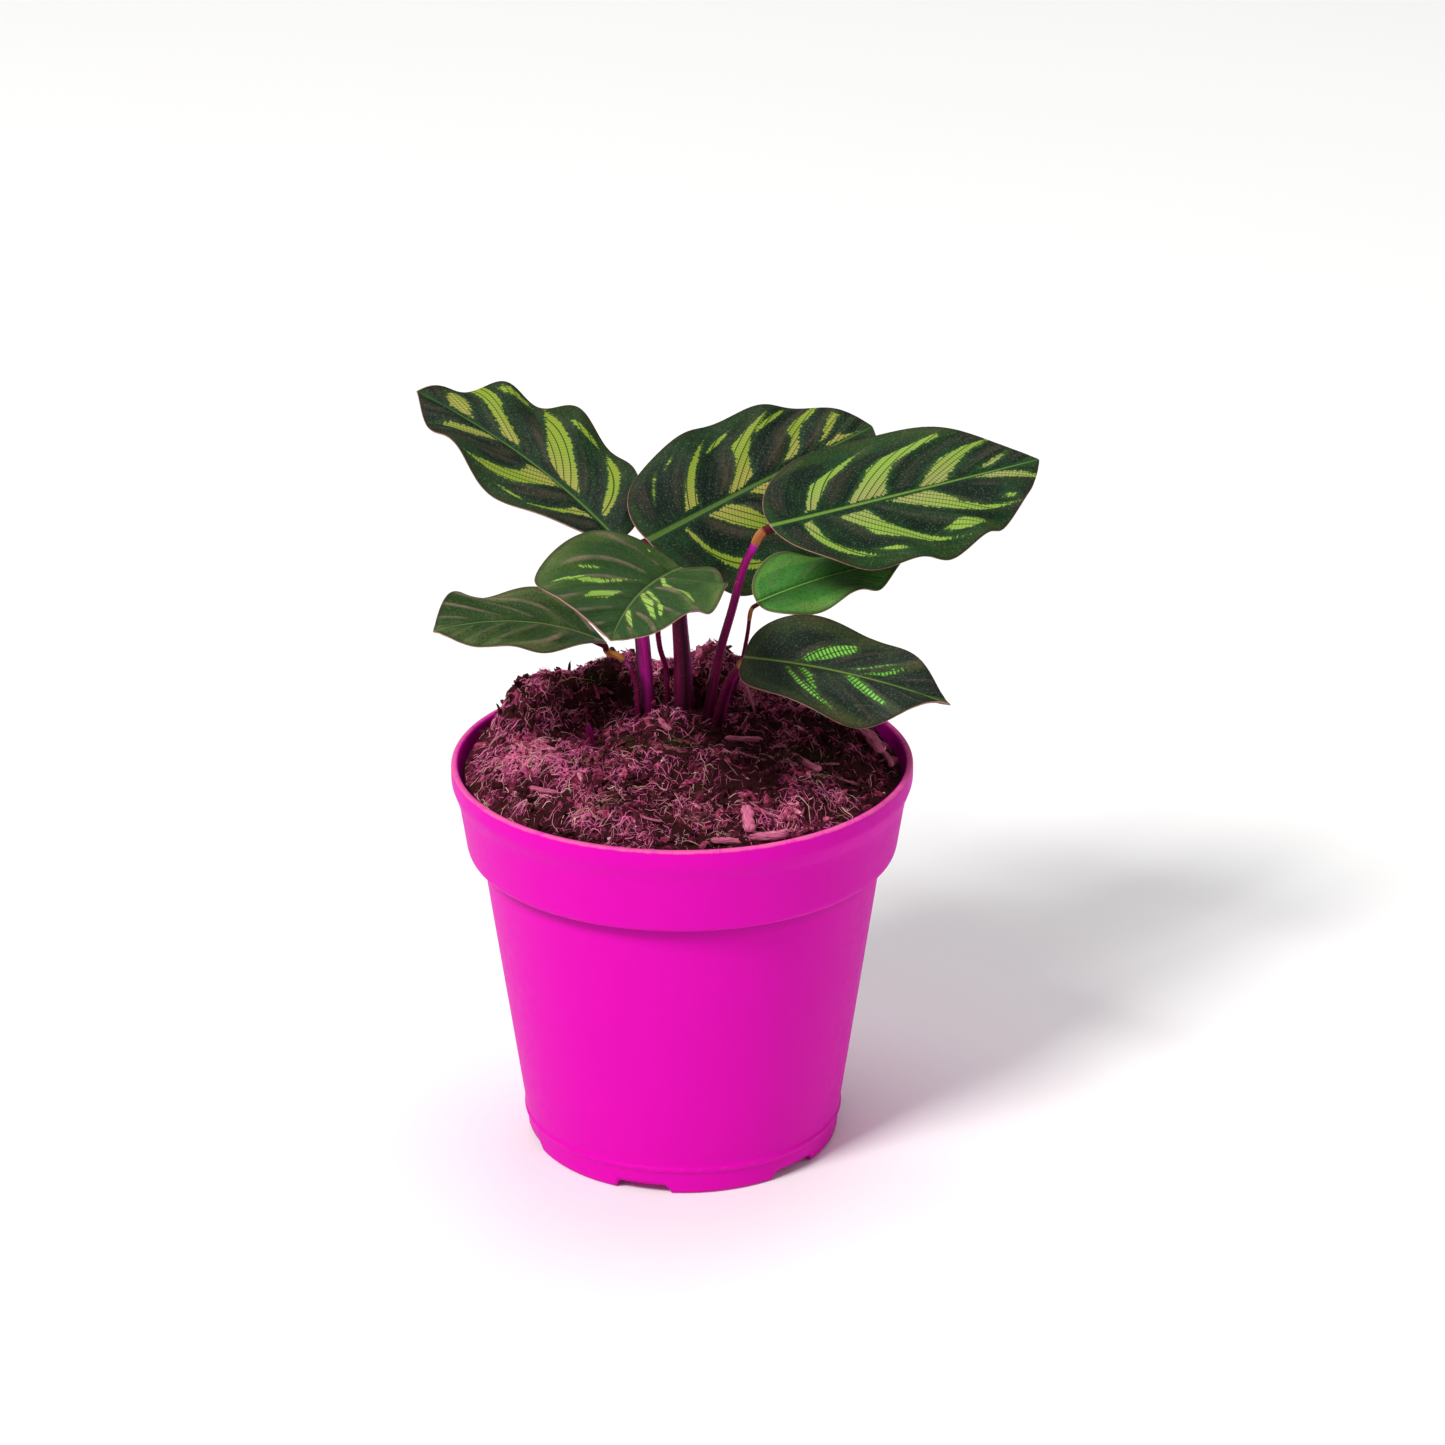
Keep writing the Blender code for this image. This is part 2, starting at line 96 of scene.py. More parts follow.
# Mounds as x, y, reach in x and y, and height; then the dip round the shoot in the same way
MOUNDS = [
    (-1.2, 22.0, 22.0, 12.0, 6.5), (-36.0, 21.0, 11.0, 12.0, 8.0), (-17.2, 22.0, 9.0, 9.0, 4.5),
    (8.0, 21.0, 8.0, 9.0, 6.0), (34.8, 6.0, 12.0, 14.0, 3.5), (-29.2, -14.0, 14.0, 12.0, 2.0),
    (16.8, -24.0, 14.0, 10.0, 2.0), (-25.2, 3.0, 9.0, 5.0, -2.5),
]
SHOOT_DIP = (-20.3, -4.2, 2.6, 3.4, -3.0)
# Where the soil is paler in its own pinker colour or, below zero, darker as painted shade, given in the same way
SOIL_TINTS_AND_SHADES = [
    (-34.0, -12.0, 13.0, 16.0, 0.16), (0.0, 8.0, 22.0, 12.0, -0.06), (-22.0, 10.0, 8.0, 7.0, -0.08),
    (4.0, -37.0, 8.0, 7.0, 0.16), (34.0, -18.0, 14.0, 20.0, -0.08), (-24.0, -40.0, 14.0, 5.0, -0.10),
    (12.0, 21.0, 9.0, 8.0, 0.20), (-12.0, 22.0, 6.0, 6.0, 0.14), (-38.0, 22.0, 8.0, 8.0, 0.10),
]
# Bark chips: x, y, length, width, thickness, heading and tilt in degrees; then how many smaller ones lie anywhere
CHIPS = [
    (41.5, 2.2, 18.0, 3.0, 1.8, -63.0, 6.0), (46.0, -1.5, 9.0, 1.5, 1.3, -70.0, 8.0),
    (18.6, -43.2, 10.0, 2.5, 1.8, 12.0, 1.0), (10.3, -44.6, 8.5, 1.5, 1.2, 3.0, 2.0),
    (14.3, -40.4, 9.0, 2.6, 1.6, 94.0, -16.0), (-3.7, -1.0, 6.5, 1.4, 1.1, -62.0, 12.0),
    (13.8, -8.0, 9.0, 1.3, 1.1, 8.0, 6.0), (15.4, 6.4, 8.5, 0.9, 0.8, 0.0, 72.0),
    (27.3, -14.4, 10.0, 1.7, 1.3, -50.0, 4.0), (-8.2, -39.5, 9.0, 0.6, 0.5, -34.0, 4.0),
    (-25.2, -13.6, 6.5, 0.7, 0.5, 0.0, 5.0), (-15.9, -23.5, 5.0, 0.7, 0.5, 60.0, 5.0),
    (-29.8, -26.0, 8.0, 1.3, 0.9, -12.0, 4.0),
]
LOOSE_CHIPS = 46

# The leaves. Up to waves, the values are those of the solid part, but for the right leaf, whose right edge waves by
# 1 mm less, and for uneven, the share by which the left side is wider, on the front and the lower left leaf.
# folds: where the side folds stand, as the first one's place on the midrib and the step from one to the next, then
# their height and how narrow their crests are.
# marks: each light mark as stops from the midrib out, with the two side veins that it fills there. A stop is how
# far out it lies and where on the midrib those veins start, in hundredths; a minus sign means the right side.
# swell: how much wider the leaf grows near its base on the left and on the right, as a share.
# bands: where the browner band lies between two marks, as a share of the way to the tip, left and right.
LEAVES = {
    "blade_upper_left": dict(
        base=(-14.5, 13.4, 139.2), heading=128.6, pitch=24.2, roll=-2.0, length=61.1, width=36.2, droop=3.3,
        bend=25.6, fold=11.1, arch=0.027, base_round=0.50, tip_taper=0.957, lobe=0.006, sweep=0.151,
        uneven=-0.036, waves=((2.75, 1.90, 0.18), (2.57, 3.56, -0.18)), folds=(0.08, 0.155, 0.40, 1.0),
        tone="deep", swell=(0.0, 0.0), rib=0.38, bands=(0.5, 0.25),
        marks=[
            [(-9, 9.5, 12), (-26, 10, 13.9), (-50, 9.7, 13.8), (-77, 8.2, 12), (-92, 8.5, 8.5)],
            [(-79, 19, 20.5), (-82, 15, 21), (-86, 11.5, 19), (-89, 12, 14)],
            [(-60, 44, 46.5), (-66, 39, 43), (-72, 34.5, 38.5), (-80, 29.5, 31.5), (-84, 30, 30)],
            [(-7, 22.5, 32), (-17, 24, 37.5), (-30, 25, 37.3), (-45, 25.4, 35), (-70, 24.7, 30), (-95, 23, 23)],
            [(-7, 53, 60), (-15, 49.5, 58.5), (-38, 50, 56.5), (-50, 47.2, 56), (-64, 50, 50)],
            [(-5, 73, 83), (-15, 69, 79), (-24, 66, 74), (-32, 64, 66)],
            [(4, 60, 65), (14, 58, 66), (24, 55, 66), (32, 55, 62), (38, 60, 60)],
            [(3, 30, 39), (10, 29.5, 44), (20, 29, 38), (35, 26.5, 34), (54, 24, 31.5), (68, 23.5, 30),
             (84, 27, 27)],
            [(6, 11, 14.5), (15, 12.5, 17.5), (30, 12.5, 15.5), (53, 11, 13.3), (64, 10.8, 13), (74, 12, 12)],
            [(68, 13.5, 15), (72, 14, 18.5), (76, 17, 19.2), (79, 19, 19)],
        ],
    ),
    "blade_back": dict(
        base=(-6.4, 8.4, 141.3), heading=49.9, pitch=4.7, roll=36.1, length=66.7, width=43.4, droop=-21.0,
        bend=-9.9, fold=0.8, arch=0.131, base_round=0.415, tip_taper=0.739, lobe=0.025, sweep=0.144,
        uneven=-0.092, waves=((1.78, 3.17, -0.64), (4.86, 3.14, 0.28)), folds=(0.05, 0.155, 0.35, 1.0),
        tone="deep", swell=(0.0, 0.0), rib=0.62, bands=(0.75, 0.8),
        marks=[
            [(8, 17.5, 24), (18, 18.2, 23.5), (30, 19, 22.5), (45, 19.5, 22.6), (60, 19.8, 22), (78, 20.8, 20.8)],
            [(30, 8, 8.3), (45, 8.7, 9.6), (61, 9.2, 10), (66, 9.5, 9.5)],
            [(62, 12, 12.2), (67, 12, 13.4), (71, 12.4, 13.2), (74, 13, 13)],
            [(57, 24, 25), (63, 24, 27.5), (68, 25, 28.5), (73, 28, 28)],
            [(3, 36.5, 43), (11, 37.2, 46.8), (20, 37.8, 44), (35, 36, 40.5), (52, 32, 38), (62, 34.5, 38.5),
             (70, 37, 37)],
            [(52, 38, 39.5), (57, 38, 42.5), (62, 39.5, 44), (66, 43, 43)],
            [(8, 59, 64.5), (16, 58, 63), (28, 55.8, 58.8), (40, 50.8, 56.5), (48, 51.5, 58), (55, 55, 55)],
            [(10, 72.5, 74.5), (18, 70, 74), (28, 67, 71.5), (36, 66, 66)],
            [(2, 79, 94), (5, 78, 86), (8, 79, 82), (11, 81, 81)],
            [(-8, 12.5, 14.5), (-35, 10.3, 12.2), (-50, 9.7, 12.4), (-70, 8.5, 12.5), (-80, 8.5, 11), (-88, 9, 9)],
            [(-6, 23, 34), (-16, 24, 35.3), (-34, 24, 33), (-50, 24.5, 31), (-70, 24.5, 29), (-80, 26, 26)],
            [(-3, 44, 54), (-8, 43, 51), (-16, 44, 50), (-40, 44, 49), (-60, 45, 45)],
        ],
    ),
    "blade_right": dict(
        base=(19.5, -6.2, 149.4), heading=35.9, pitch=-0.5, roll=29.8, length=72.1, width=37.9, droop=-8.2,
        bend=-5.9, fold=4.6, arch=0.116, base_round=0.477, tip_taper=0.842, lobe=0.0, sweep=0.138,
        uneven=-0.005, waves=((1.40, 1.65, 0.17), (2.10, 3.86, 0.10)), folds=(0.05, 0.155, 0.35, 1.0),
        tone="bright", swell=(0.0, 0.0), rib=0.44, bands=(0.45, 0.8),
        marks=[
            [(6, 13.2, 17), (26, 14, 18.6), (42, 14, 19), (52, 16.5, 20.5), (63, 18.5, 20.8), (80, 20.2, 20.2)],
            [(3, 28.3, 43.5), (17, 29.2, 39.2), (30, 29.5, 37.2), (45, 28, 35.5), (57, 28.5, 37.5),
             (66, 34, 39.5), (72, 37, 37)],
            [(2, 54, 65), (10, 53, 62.5), (20, 51.5, 60.5), (33, 49.5, 57.5), (43, 52, 58), (49, 55.5, 57.8),
             (54, 57, 57)],
            [(8, 73, 77), (14, 72, 77), (20, 72, 75), (24, 73, 73)],
            [(-8, 10, 13.6), (-25, 7.9, 11.7), (-40, 7.1, 10), (-55, 7.2, 10.5), (-70, 8.8, 10.8), (-80, 10, 10)],
            [(-69, 12.5, 13), (-75, 12, 15.5), (-82, 12.5, 14)],
            [(-11, 20.5, 31.2), (-35, 20.7, 27.3), (-50, 18.7, 26.5), (-60, 19.2, 26.2), (-70, 22.2, 26.4),
             (-79, 24.6, 26), (-84, 25.5, 25.5)],
            [(-58, 36, 37.5), (-64, 30, 39.5), (-70, 28.7, 36), (-76, 30, 30)],
            [(-5, 40, 56), (-19, 41.5, 53.6), (-33, 42, 50), (-44, 43.5, 50.5), (-50, 47.8, 52.5),
             (-56, 52.5, 52.5)],
            [(-37, 59, 59.5), (-42, 55.5, 59), (-47, 55.5, 55.5)],
            [(-2, 73.5, 83), (-8, 74, 84), (-18, 77, 83), (-24, 81, 81)],
        ],
    ),
    "blade_front": dict(
        base=(-1.8, -4.3, 138.0), heading=-108.6, pitch=12.7, roll=-9.4, length=58.9, width=43.0, droop=10.6,
        bend=14.0, fold=21.4, arch=0.038, base_round=0.562, tip_taper=0.665, lobe=0.103, sweep=0.161,
        uneven=-0.045, waves=((1.80, 2.72, 0.14), (4.99, 0.80, 0.33)), folds=(0.05, 0.15, 1.15, 2.0),
        tone="grey", swell=(0.0, 0.30), rib=0.40, bands=(0.5, 0.5),
        marks=[
            [(-10, 27, 29), (-22, 35, 37.4), (-38, 37, 39.4), (-55, 35, 38), (-72, 29, 34), (-80, 29, 32),
             (-84, 30, 30)],
            [(-14, 45, 49.5), (-22, 47, 54), (-31, 48, 53.5), (-39, 49, 53), (-46, 53, 53)],
            [(-50, 24.5, 26), (-65, 23.5, 25), (-78, 22.5, 22.5)],
            [(-29, -1, -1), (-32, -2, 0), (-36, -1, -1)],
            [(2, 41, 47), (10, 44.5, 52), (22, 48, 55), (32, 54, 60.5), (40, 60, 60)],
            [(5, 37.8, 41), (18, 40.8, 44.8), (30, 44.3, 48.8), (40, 49.8, 56), (46, 57, 57)],
            [(1, 63, 71), (6, 66, 74), (12, 70, 77), (19, 77, 77)],
            [(2, 14.5, 18.5), (17, 24.5, 29.5), (38, 30, 34.5), (60, 31.5, 34.5), (72, 33.5, 33.5)],
        ],
    ),
    "blade_lower_left": dict(
        base=(-16.6, 2.0, 118.8), heading=209.9, pitch=33.9, roll=-17.3, length=44.4, width=24.6, droop=39.6,
        bend=6.9, fold=7.5, arch=0.096, base_round=0.92, tip_taper=1.0, lobe=0.0, sweep=0.149,
        uneven=-0.01, waves=((0.99, 2.14, -0.01), (2.83, 1.74, -0.11)), folds=(0.08, 0.16, 0.80, 2.0),
        tone="plain", swell=(-0.10, 1.40), rib=0.20, bands=(0.5, 0.5), marks=[],
    ),
    "blade_young": dict(
        base=(16.8, 1.5, 128.5), heading=18.1, pitch=19.0, roll=21.7, length=35.6, width=19.5, droop=24.6,
        bend=-1.1, fold=8.6, arch=0.084, base_round=0.382, tip_taper=0.84, lobe=0.0, sweep=0.145,
        uneven=0.02, waves=((3.96, 1.43, 0.12), (1.89, 2.02, 0.35)), folds=(0.11, 0.18, 0.15, 1.0),
        tone="young", swell=(0.0, 0.0), rib=0.24, bands=(0.5, 0.5), marks=[],
    ),
    "blade_lower_right": dict(
        base=(14.8, -12.0, 120.7), heading=-18.7, pitch=2.4, roll=27.7, length=46.1, width=26.2, droop=23.9,
        bend=-2.0, fold=7.6, arch=0.088, base_round=0.32, tip_taper=0.977, lobe=0.028, sweep=0.145,
        uneven=0.019, waves=((2.11, 1.67, 0.07), (4.84, 1.26, 0.12)), folds=(0.05, 0.155, 0.45, 1.6),
        tone="dull", swell=(0.0, 0.0), rib=0.30, bands=(0.5, 0.6),
        marks=[
            [(8, 22.5, 27), (18, 22.5, 32), (30, 22.5, 34), (45, 23, 33), (56, 24, 29), (64, 26, 26)],
            [(9, 45, 48), (20, 47.5, 50), (34, 47.8, 50.5), (42, 50, 50)],
            [(6, 52.5, 54), (12, 54, 59), (22, 54, 58), (32, 53, 55), (38, 54, 54)],
            [(-11, 17, 19), (-36, 17, 19.8), (-50, 17, 20.8), (-64, 16.8, 20.5), (-72, 18, 21.5), (-78, 20, 20)],
            [(-8, 22, 26), (-20, 23, 28), (-32, 22.5, 25.5), (-48, 21.5, 23.5), (-54, 22.5, 22.5)],
            [(-4, 46, 52), (-12, 43.5, 51), (-22, 43, 50.5), (-30, 44, 50.5), (-40, 46, 50), (-48, 48, 48)],
        ],
    ),
}
# A leaf's thickness, and how far in from its edge it is reached; then the depth and half width of the channel that
# runs along its midrib
LEAF_THICKNESS = 0.40
LEAF_EDGE = 0.35
CHANNEL_DEPTH = 0.38
CHANNEL_HALF = 0.75

# The stalks: blade, foot, radii at the soil and at the blade, and points of the line. They are the solid part's,
# but for the radii of four of them, which differ by up to 0.2 mm. sheath: the share of the stalk that its sheath
# wraps. joint: the length of the swelling below the blade, below zero where none is seen. glow: how bright a
# magenta the stalk shows at its foot and at its blade. groove: where round the stalk its dark edge runs.
# Each starts below the soil, stays straight for a length or a share of its first stretch, whichever is less, and
# runs on past the blade's base.
STALK_SUNK = 3.0
STALK_STRAIGHT = 4.0
STALK_SHARE = 0.6
STALK_SEAT = 2.2
STALKS = {
    "stalk_upper_left": dict(
        blade="blade_upper_left", foot=(-8.0, 7.0), radii=(1.85, 1.25), sheath=0.75, joint=3.5, glow=(0.7, 1.0),
        groove=-1.0, line=[(-8.4, 7.8, 110.0), (-8.8, 8.6, 117.0), (-9.9, 9.8, 126.0), (-12.0, 10.9, 133.0)],
    ),
    "stalk_back": dict(
        blade="blade_back", foot=(0.5, 7.0), radii=(2.2, 1.15), sheath=0.80, joint=-3.0, glow=(0.65, 0.60),
        groove=0.45, line=[(0.2, 7.4, 112.4), (-0.4, 7.6, 122.0), (-0.7, 8.0, 130.5), (-2.4, 8.4, 135.5)],
    ),
    "stalk_right": dict(
        blade="blade_right", foot=(5.7, 4.0), radii=(1.1, 0.9), sheath=0.35, joint=4.6, glow=(0.0, 1.0),
        groove=-0.9, line=[(8.4, 1.0, 116.2), (11.2, -2.0, 128.1), (13.6, -5.0, 139.0), (15.8, -6.8, 144.6)],
    ),
    "stalk_front": dict(
        blade="blade_front", foot=(-3.1, 9.0), radii=(0.6, 0.6), sheath=0.0, joint=4.0, glow=(0.1, 0.2),
        groove=0.8, line=[(-3.5, 6.4, 111.1), (-4.8, 3.0, 117.2), (-5.2, 0.2, 124.0), (-4.0, -1.2, 131.0)],
    ),
    "stalk_lower_left": dict(
        blade="blade_lower_left", foot=(-9.8, 3.9), radii=(0.65, 0.6), sheath=0.0, joint=6.0, glow=(0.0, 0.2),
        groove=0.8, line=[(-10.1, 3.7, 107.5), (-11.5, 3.2, 112.2), (-13.6, 2.8, 115.0)],
    ),
    "stalk_young": dict(
        blade="blade_young", foot=(10.7, 10.0), radii=(0.5, 0.42), sheath=0.0, joint=4.8, glow=(0.0, 0.0),
        groove=0.8, line=[(12.1, 9.3, 105.4), (13.8, 7.2, 113.2), (14.8, 4.2, 120.3)],
    ),
    "stalk_lower_right": dict(
        blade="blade_lower_right", foot=(8.1, 0.8), radii=(1.35, 0.8), sheath=0.70, joint=3.5, glow=(0.5, 0.8),
        groove=0.2, line=[(9.3, -1.4, 106.2), (10.8, -5.4, 112.6)],
    ),
    "shoot": dict(
        blade=None, foot=(-20.1, -3.0), radii=(1.1, 0.55), sheath=0.0, joint=0.0, glow=(1.0, 1.0),
        groove=0.8, line=[(-20.9, -3.0, 100.8), (-21.5, -3.0, 103.8)],
    ),
}
# Hairs on each stalk, the rings of the stalk between which they stand, and their radius from root to tip
HAIRS_EACH = 80
HAIR_RINGS = (3, 55)
HAIR_RADII = [0.030, 0.024, 0.008]


# Meshes from arrays


def grid_faces(rows, columns, closed=False):
    """Quads of a grid of points numbered row by row; a closed grid joins its last column to its first."""
    across = columns if closed else columns - 1
    row, column = np.meshgrid(np.arange(rows - 1), np.arange(across), indexing="ij")
    after = (column + 1) % columns
    near, far = row * columns, (row + 1) * columns
    quads = [near + column, near + after, far + after, far + column]
    return np.stack(quads, -1).reshape(-1, 4)


def many(faces, points_each, count):
    """The faces of one shape, repeated for count copies that have points_each points."""
    return (faces[None] + points_each * np.arange(count)[:, None, None]).reshape(-1, faces.shape[1])


def new_object(name, data):
    """An object in the scene, at the origin and unturned."""
    obj = bpy.data.objects.new(name, data)
    bpy.context.scene.collection.objects.link(obj)
    return obj


def aim_object(obj, right, over, back, spot):
    """Give an object its three axes and its place in metres, as one matrix."""
    rows = [(*row, at) for row, at in zip(np.stack([right, over, back], 1), spot)]
    obj.matrix_world = Matrix(rows + [(0, 0, 0, 1)])


def make_piece(name, points, faces, materials, indices=None, values=None, uv=None, merge=0.0, smooth=True):
    """An object at the origin from points in millimetres, with one value per point in each named attribute."""
    mesh = bpy.data.meshes.new(name)
    mesh.from_pydata((points + POT_AXIS) * MM, [], faces)
    for mat in materials:
        mesh.materials.append(mat)
    if indices is not None:
        mesh.polygons.foreach_set("material_index", indices.astype(np.int32))
    for key, value in (values or {}).items():
        mesh.attributes.new(key, "FLOAT", "POINT").data.foreach_set("value", value.astype(np.float32))
    if uv is not None:
        corners = np.empty(len(mesh.loops), np.int32)
        mesh.loops.foreach_get("vertex_index", corners)
        mesh.uv_layers.new(name="surface").uv.foreach_set("vector", uv[corners].astype(np.float32).ravel())
    if merge:
        bm = bmesh.new()
        bm.from_mesh(mesh)
        bmesh.ops.remove_doubles(bm, verts=bm.verts, dist=merge * MM)
        bmesh.ops.dissolve_degenerate(bm, edges=bm.edges, dist=merge * MM)
        bmesh.ops.recalc_face_normals(bm, faces=bm.faces)
        bm.to_mesh(mesh)
        bm.free()
    mesh.polygons.foreach_set("use_smooth", np.full(len(mesh.polygons), smooth))
    mesh.update()
    obj = new_object(name, mesh)
    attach(obj, "root")
    return obj


def grain(x, y, size, seed):
    """Smooth random heights from -1 to 1: random values on a square lattice of the given size, eased between."""
    lattice = np.random.default_rng(seed).uniform(-1, 1, (64, 64))
    x, y = x / size + 17.3, y / size + 31.7
    column, row = np.floor(x).astype(int), np.floor(y).astype(int)
    x, y = x - column, y - row
    x, y = x * x * (3 - 2 * x), y * y * (3 - 2 * y)
    near = lattice[row % 64, column % 64] * (1 - x) + lattice[row % 64, (column + 1) % 64] * x
    far = lattice[(row + 1) % 64, column % 64] * (1 - x) + lattice[(row + 1) % 64, (column + 1) % 64] * x
    return near * (1 - y) + far * y


def unit(vectors):
    """The vectors, each divided by its own length."""
    return vectors / np.maximum(np.linalg.norm(vectors, axis=-1, keepdims=True), 1e-9)


def ease(value, low, high):
    """0 at low, 1 at high, a smooth S between and level beyond; low may be the larger of the two."""
    share = np.clip((value - low) / (high - low), 0, 1)
    return share * share * (3 - 2 * share)


def tubes(lines, radii, ref, sides):
    """Points and faces of many tubes. lines is (tube, point, 3), radii (tube, point) and ref (tube, 3) is a
    direction that no line runs along. Each ring is the line's point plus the radius times a circle that stands
    square to the line. The ends are drawn in to a point."""
    count, length = radii.shape
    tangent = unit(np.gradient(lines, axis=1))
    side = unit(np.cross(tangent, ref[:, None, :]))
    over = np.cross(side, tangent)
    turn = np.linspace(0, 2 * np.pi, sides, endpoint=False)
    circle = np.cos(turn)[:, None] * side[..., None, :] + np.sin(turn)[:, None] * over[..., None, :]
    rings = lines[:, :, None, :] + radii[:, :, None, None] * circle
    first, last = lines[:, :1, None, :].repeat(sides, 2), lines[:, -1:, None, :].repeat(sides, 2)
    rings = np.concatenate([first, rings, last], axis=1)
    faces = many(grid_faces(length + 2, sides, closed=True), (length + 2) * sides, count)
    return rings.reshape(-1, 3), faces


# Materials


def colour(code):
    """The linear red, green, blue and alpha of an sRGB hex colour."""
    parts = [int(code[k : k + 2], 16) / 255 for k in (1, 3, 5)]
    return (*[part / 12.92 if part < 0.04045 else ((part + 0.055) / 1.055) ** 2.4 for part in parts], 1.0)


def add(mat, kind, inputs=None, out=0, **settings):
    """Add a node with its settings; each input is a value or the output socket to link, and out is returned."""
    made = mat.node_tree.nodes.new("ShaderNode" + kind)
    for name, value in settings.items():
        setattr(made, name, value)
    for key, value in (inputs or {}).items():
        if isinstance(value, bpy.types.NodeSocket):
            mat.node_tree.links.new(value, made.inputs[key])
        else:
            made.inputs[key].default_value = value
    return made.outputs[out]


def ramp(mat, value, start, end, low=0.0, high=1.0):
    """low where value is start, high where it is end, a straight run between and level beyond. start may be the
    larger of the two."""
    return add(mat, "MapRange", {"Value": value, "From Min": start, "From Max": end, "To Min": low, "To Max": high})


def times(mat, a, b):
    """The product of two values, each a number or a socket."""
    return add(mat, "Math", {0: a, 1: b}, operation="MULTIPLY")


def plus(mat, a, b):
    """The sum of two values, each a number or a socket."""
    return add(mat, "Math", {0: a, 1: b}, operation="ADD")


def noise(mat, place, scale, detail=2.0, rough=0.5):
    """Smooth noise from 0 to 1. Its lumps are one over scale wide, in the unit of place."""
    return add(mat, "TexNoise", {"Vector": place, "Scale": scale, "Detail": detail, "Roughness": rough})


def stripes(mat, run, axis, scale, wander, detail=1.0, detail_scale=1.0):
    """Soft stripes from 0 to 1 that follow one another along an axis of the UV map, one each 0.314 over scale."""
    wave = {"Vector": run, "Scale": scale, "Distortion": wander, "Detail": detail, "Detail Scale": detail_scale}
    return add(mat, "TexWave", wave, out=1, bands_direction=axis)


def point_value(mat, key):
    """The value that the points of the mesh have under the name key."""
    return add(mat, "Attribute", out=2, attribute_name=key)


def new_material(name):
    """A material with its Principled shader, which is returned too."""
    mat = bpy.data.materials.new(name)
    mat.use_nodes = True
    return mat, mat.node_tree.nodes["Principled BSDF"]


def finish_material(mat, shader, base, rough, bump=None, distance=0.1, strength=1.0, **constants):
    """Link the colour, the roughness and a height in millimetres, and set constant values on the shader."""
    mat.node_tree.links.new(base, shader.inputs["Base Color"])
    mat.node_tree.links.new(rough, shader.inputs["Roughness"])
    if bump is not None:
        normal = add(mat, "Bump", {"Height": bump, "Distance": distance * MM, "Strength": strength})
        mat.node_tree.links.new(normal, shader.inputs["Normal"])
    for name, value in constants.items():
        shader.inputs[name.replace("_", " ")].default_value = value
    return mat


def painted(mat, base, layers):
    """The base colour with each layer of (mask, colour) laid over it. A colour is a hex code or a socket."""
    base = colour(base)
    for mask, over in layers:
        over = colour(over) if isinstance(over, str) else over
        base = add(mat, "Mix", {0: mask, 6: base, 7: over}, out=2, data_type="RGBA")
    return base


def pot_material():
    """Injection-moulded polypropylene: one strong magenta all through, satin, with a paler lip that is partly
    scuffed and partly a painted highlight, and a dark line of painted shade under the collar."""
    mat, shader = new_material("moulded_polypropylene")
    place = add(mat, "TexCoord", out=3)
    cloud = noise(mat, place, 18.0, 3.0)
    scuff = noise(mat, place, 420.0, 4.0, 0.65)
    # The paler lip is partly scuffing and partly a painted highlight along its top edge.
    wear_and_highlight = point_value(mat, "wear_and_highlight")
    # A dark line of painted shade on the wall just under the collar.
    collar_shade = point_value(mat, "collar_shade")
    rubbed_and_highlight = times(mat, wear_and_highlight, scuff)
    rubbed_and_highlight = ramp(mat, rubbed_and_highlight, 0.20, 0.50, high=0.7)
    base = painted(mat, "#DA02AE", [
        (ramp(mat, cloud, 0.35, 0.75, high=0.45), "#E206B2"),
        # The pale pink on the lip is partly scuffing and partly a painted highlight.
        (rubbed_and_highlight, "#EE6E9C"),
        # The dark magenta under the collar is painted shade.
        (collar_shade, "#7C0A66"),
    ])
    rough = ramp(mat, scuff, 0.3, 0.7, 0.42, 0.55)
    # The grain of a spark-eroded mould is about 0.1 mm; 0.35 mm is used so that it shows.
    skin = noise(mat, place, 2800.0)
    return finish_material(mat, shader, base, rough, skin, 0.03, 0.35, IOR=1.49, Specular_IOR_Level=0.06)


def peat_material():
    """Coarse peat: dark rotted moss with pinkish shreds, quite matt. tint says how pale a piece of it is."""
    mat, shader = new_material("coarse_peat")
    place = add(mat, "TexCoord", out=3)
    coarse = noise(mat, place, 170.0, 5.0, 0.65)
    fine = noise(mat, place, 1300.0, 4.0, 0.7)
    tint = point_value(mat, "tint")
    both = plus(mat, coarse, fine)
    both = plus(mat, both, tint)
    green = noise(mat, place, 60.0)
    base = painted(mat, "#331011", [
        (ramp(mat, both, 0.82, 1.02), "#621E34"),
        (ramp(mat, both, 1.02, 1.22), "#B2466C"),
        (ramp(mat, both, 1.28, 1.46), "#F09CAC"),
        (ramp(mat, green, 0.60, 0.70, high=0.7), "#2E2C14"),
    ])
    rough = ramp(mat, fine, 0.0, 1.0, 0.80, 1.0)
    return finish_material(mat, shader, base, rough, both, 0.6, 1.0, Specular_IOR_Level=0.15)


def fibre_material(name, dark, pale):
    """Torn coir and moss threads: each has its own tint, quite matt, and olive in patches where moss grows."""
    mat, shader = new_material(name)
    place = add(mat, "TexCoord", out=3)
    mottle = noise(mat, place, 900.0, 3.0)
    tint = point_value(mat, "tint")
    mask = plus(mat, tint, mottle)
    living = noise(mat, place, 60.0)
    base = painted(mat, dark, [
        (ramp(mat, mask, 0.55, 1.35), pale),
        (ramp(mat, living, 0.58, 0.68, high=0.65), "#8A7A3C"),
    ])
    rough = ramp(mat, mottle, 0.0, 1.0, 0.70, 0.95)
    return finish_material(mat, shader, base, rough, mottle, 0.15, 0.6, Specular_IOR_Level=0.2)


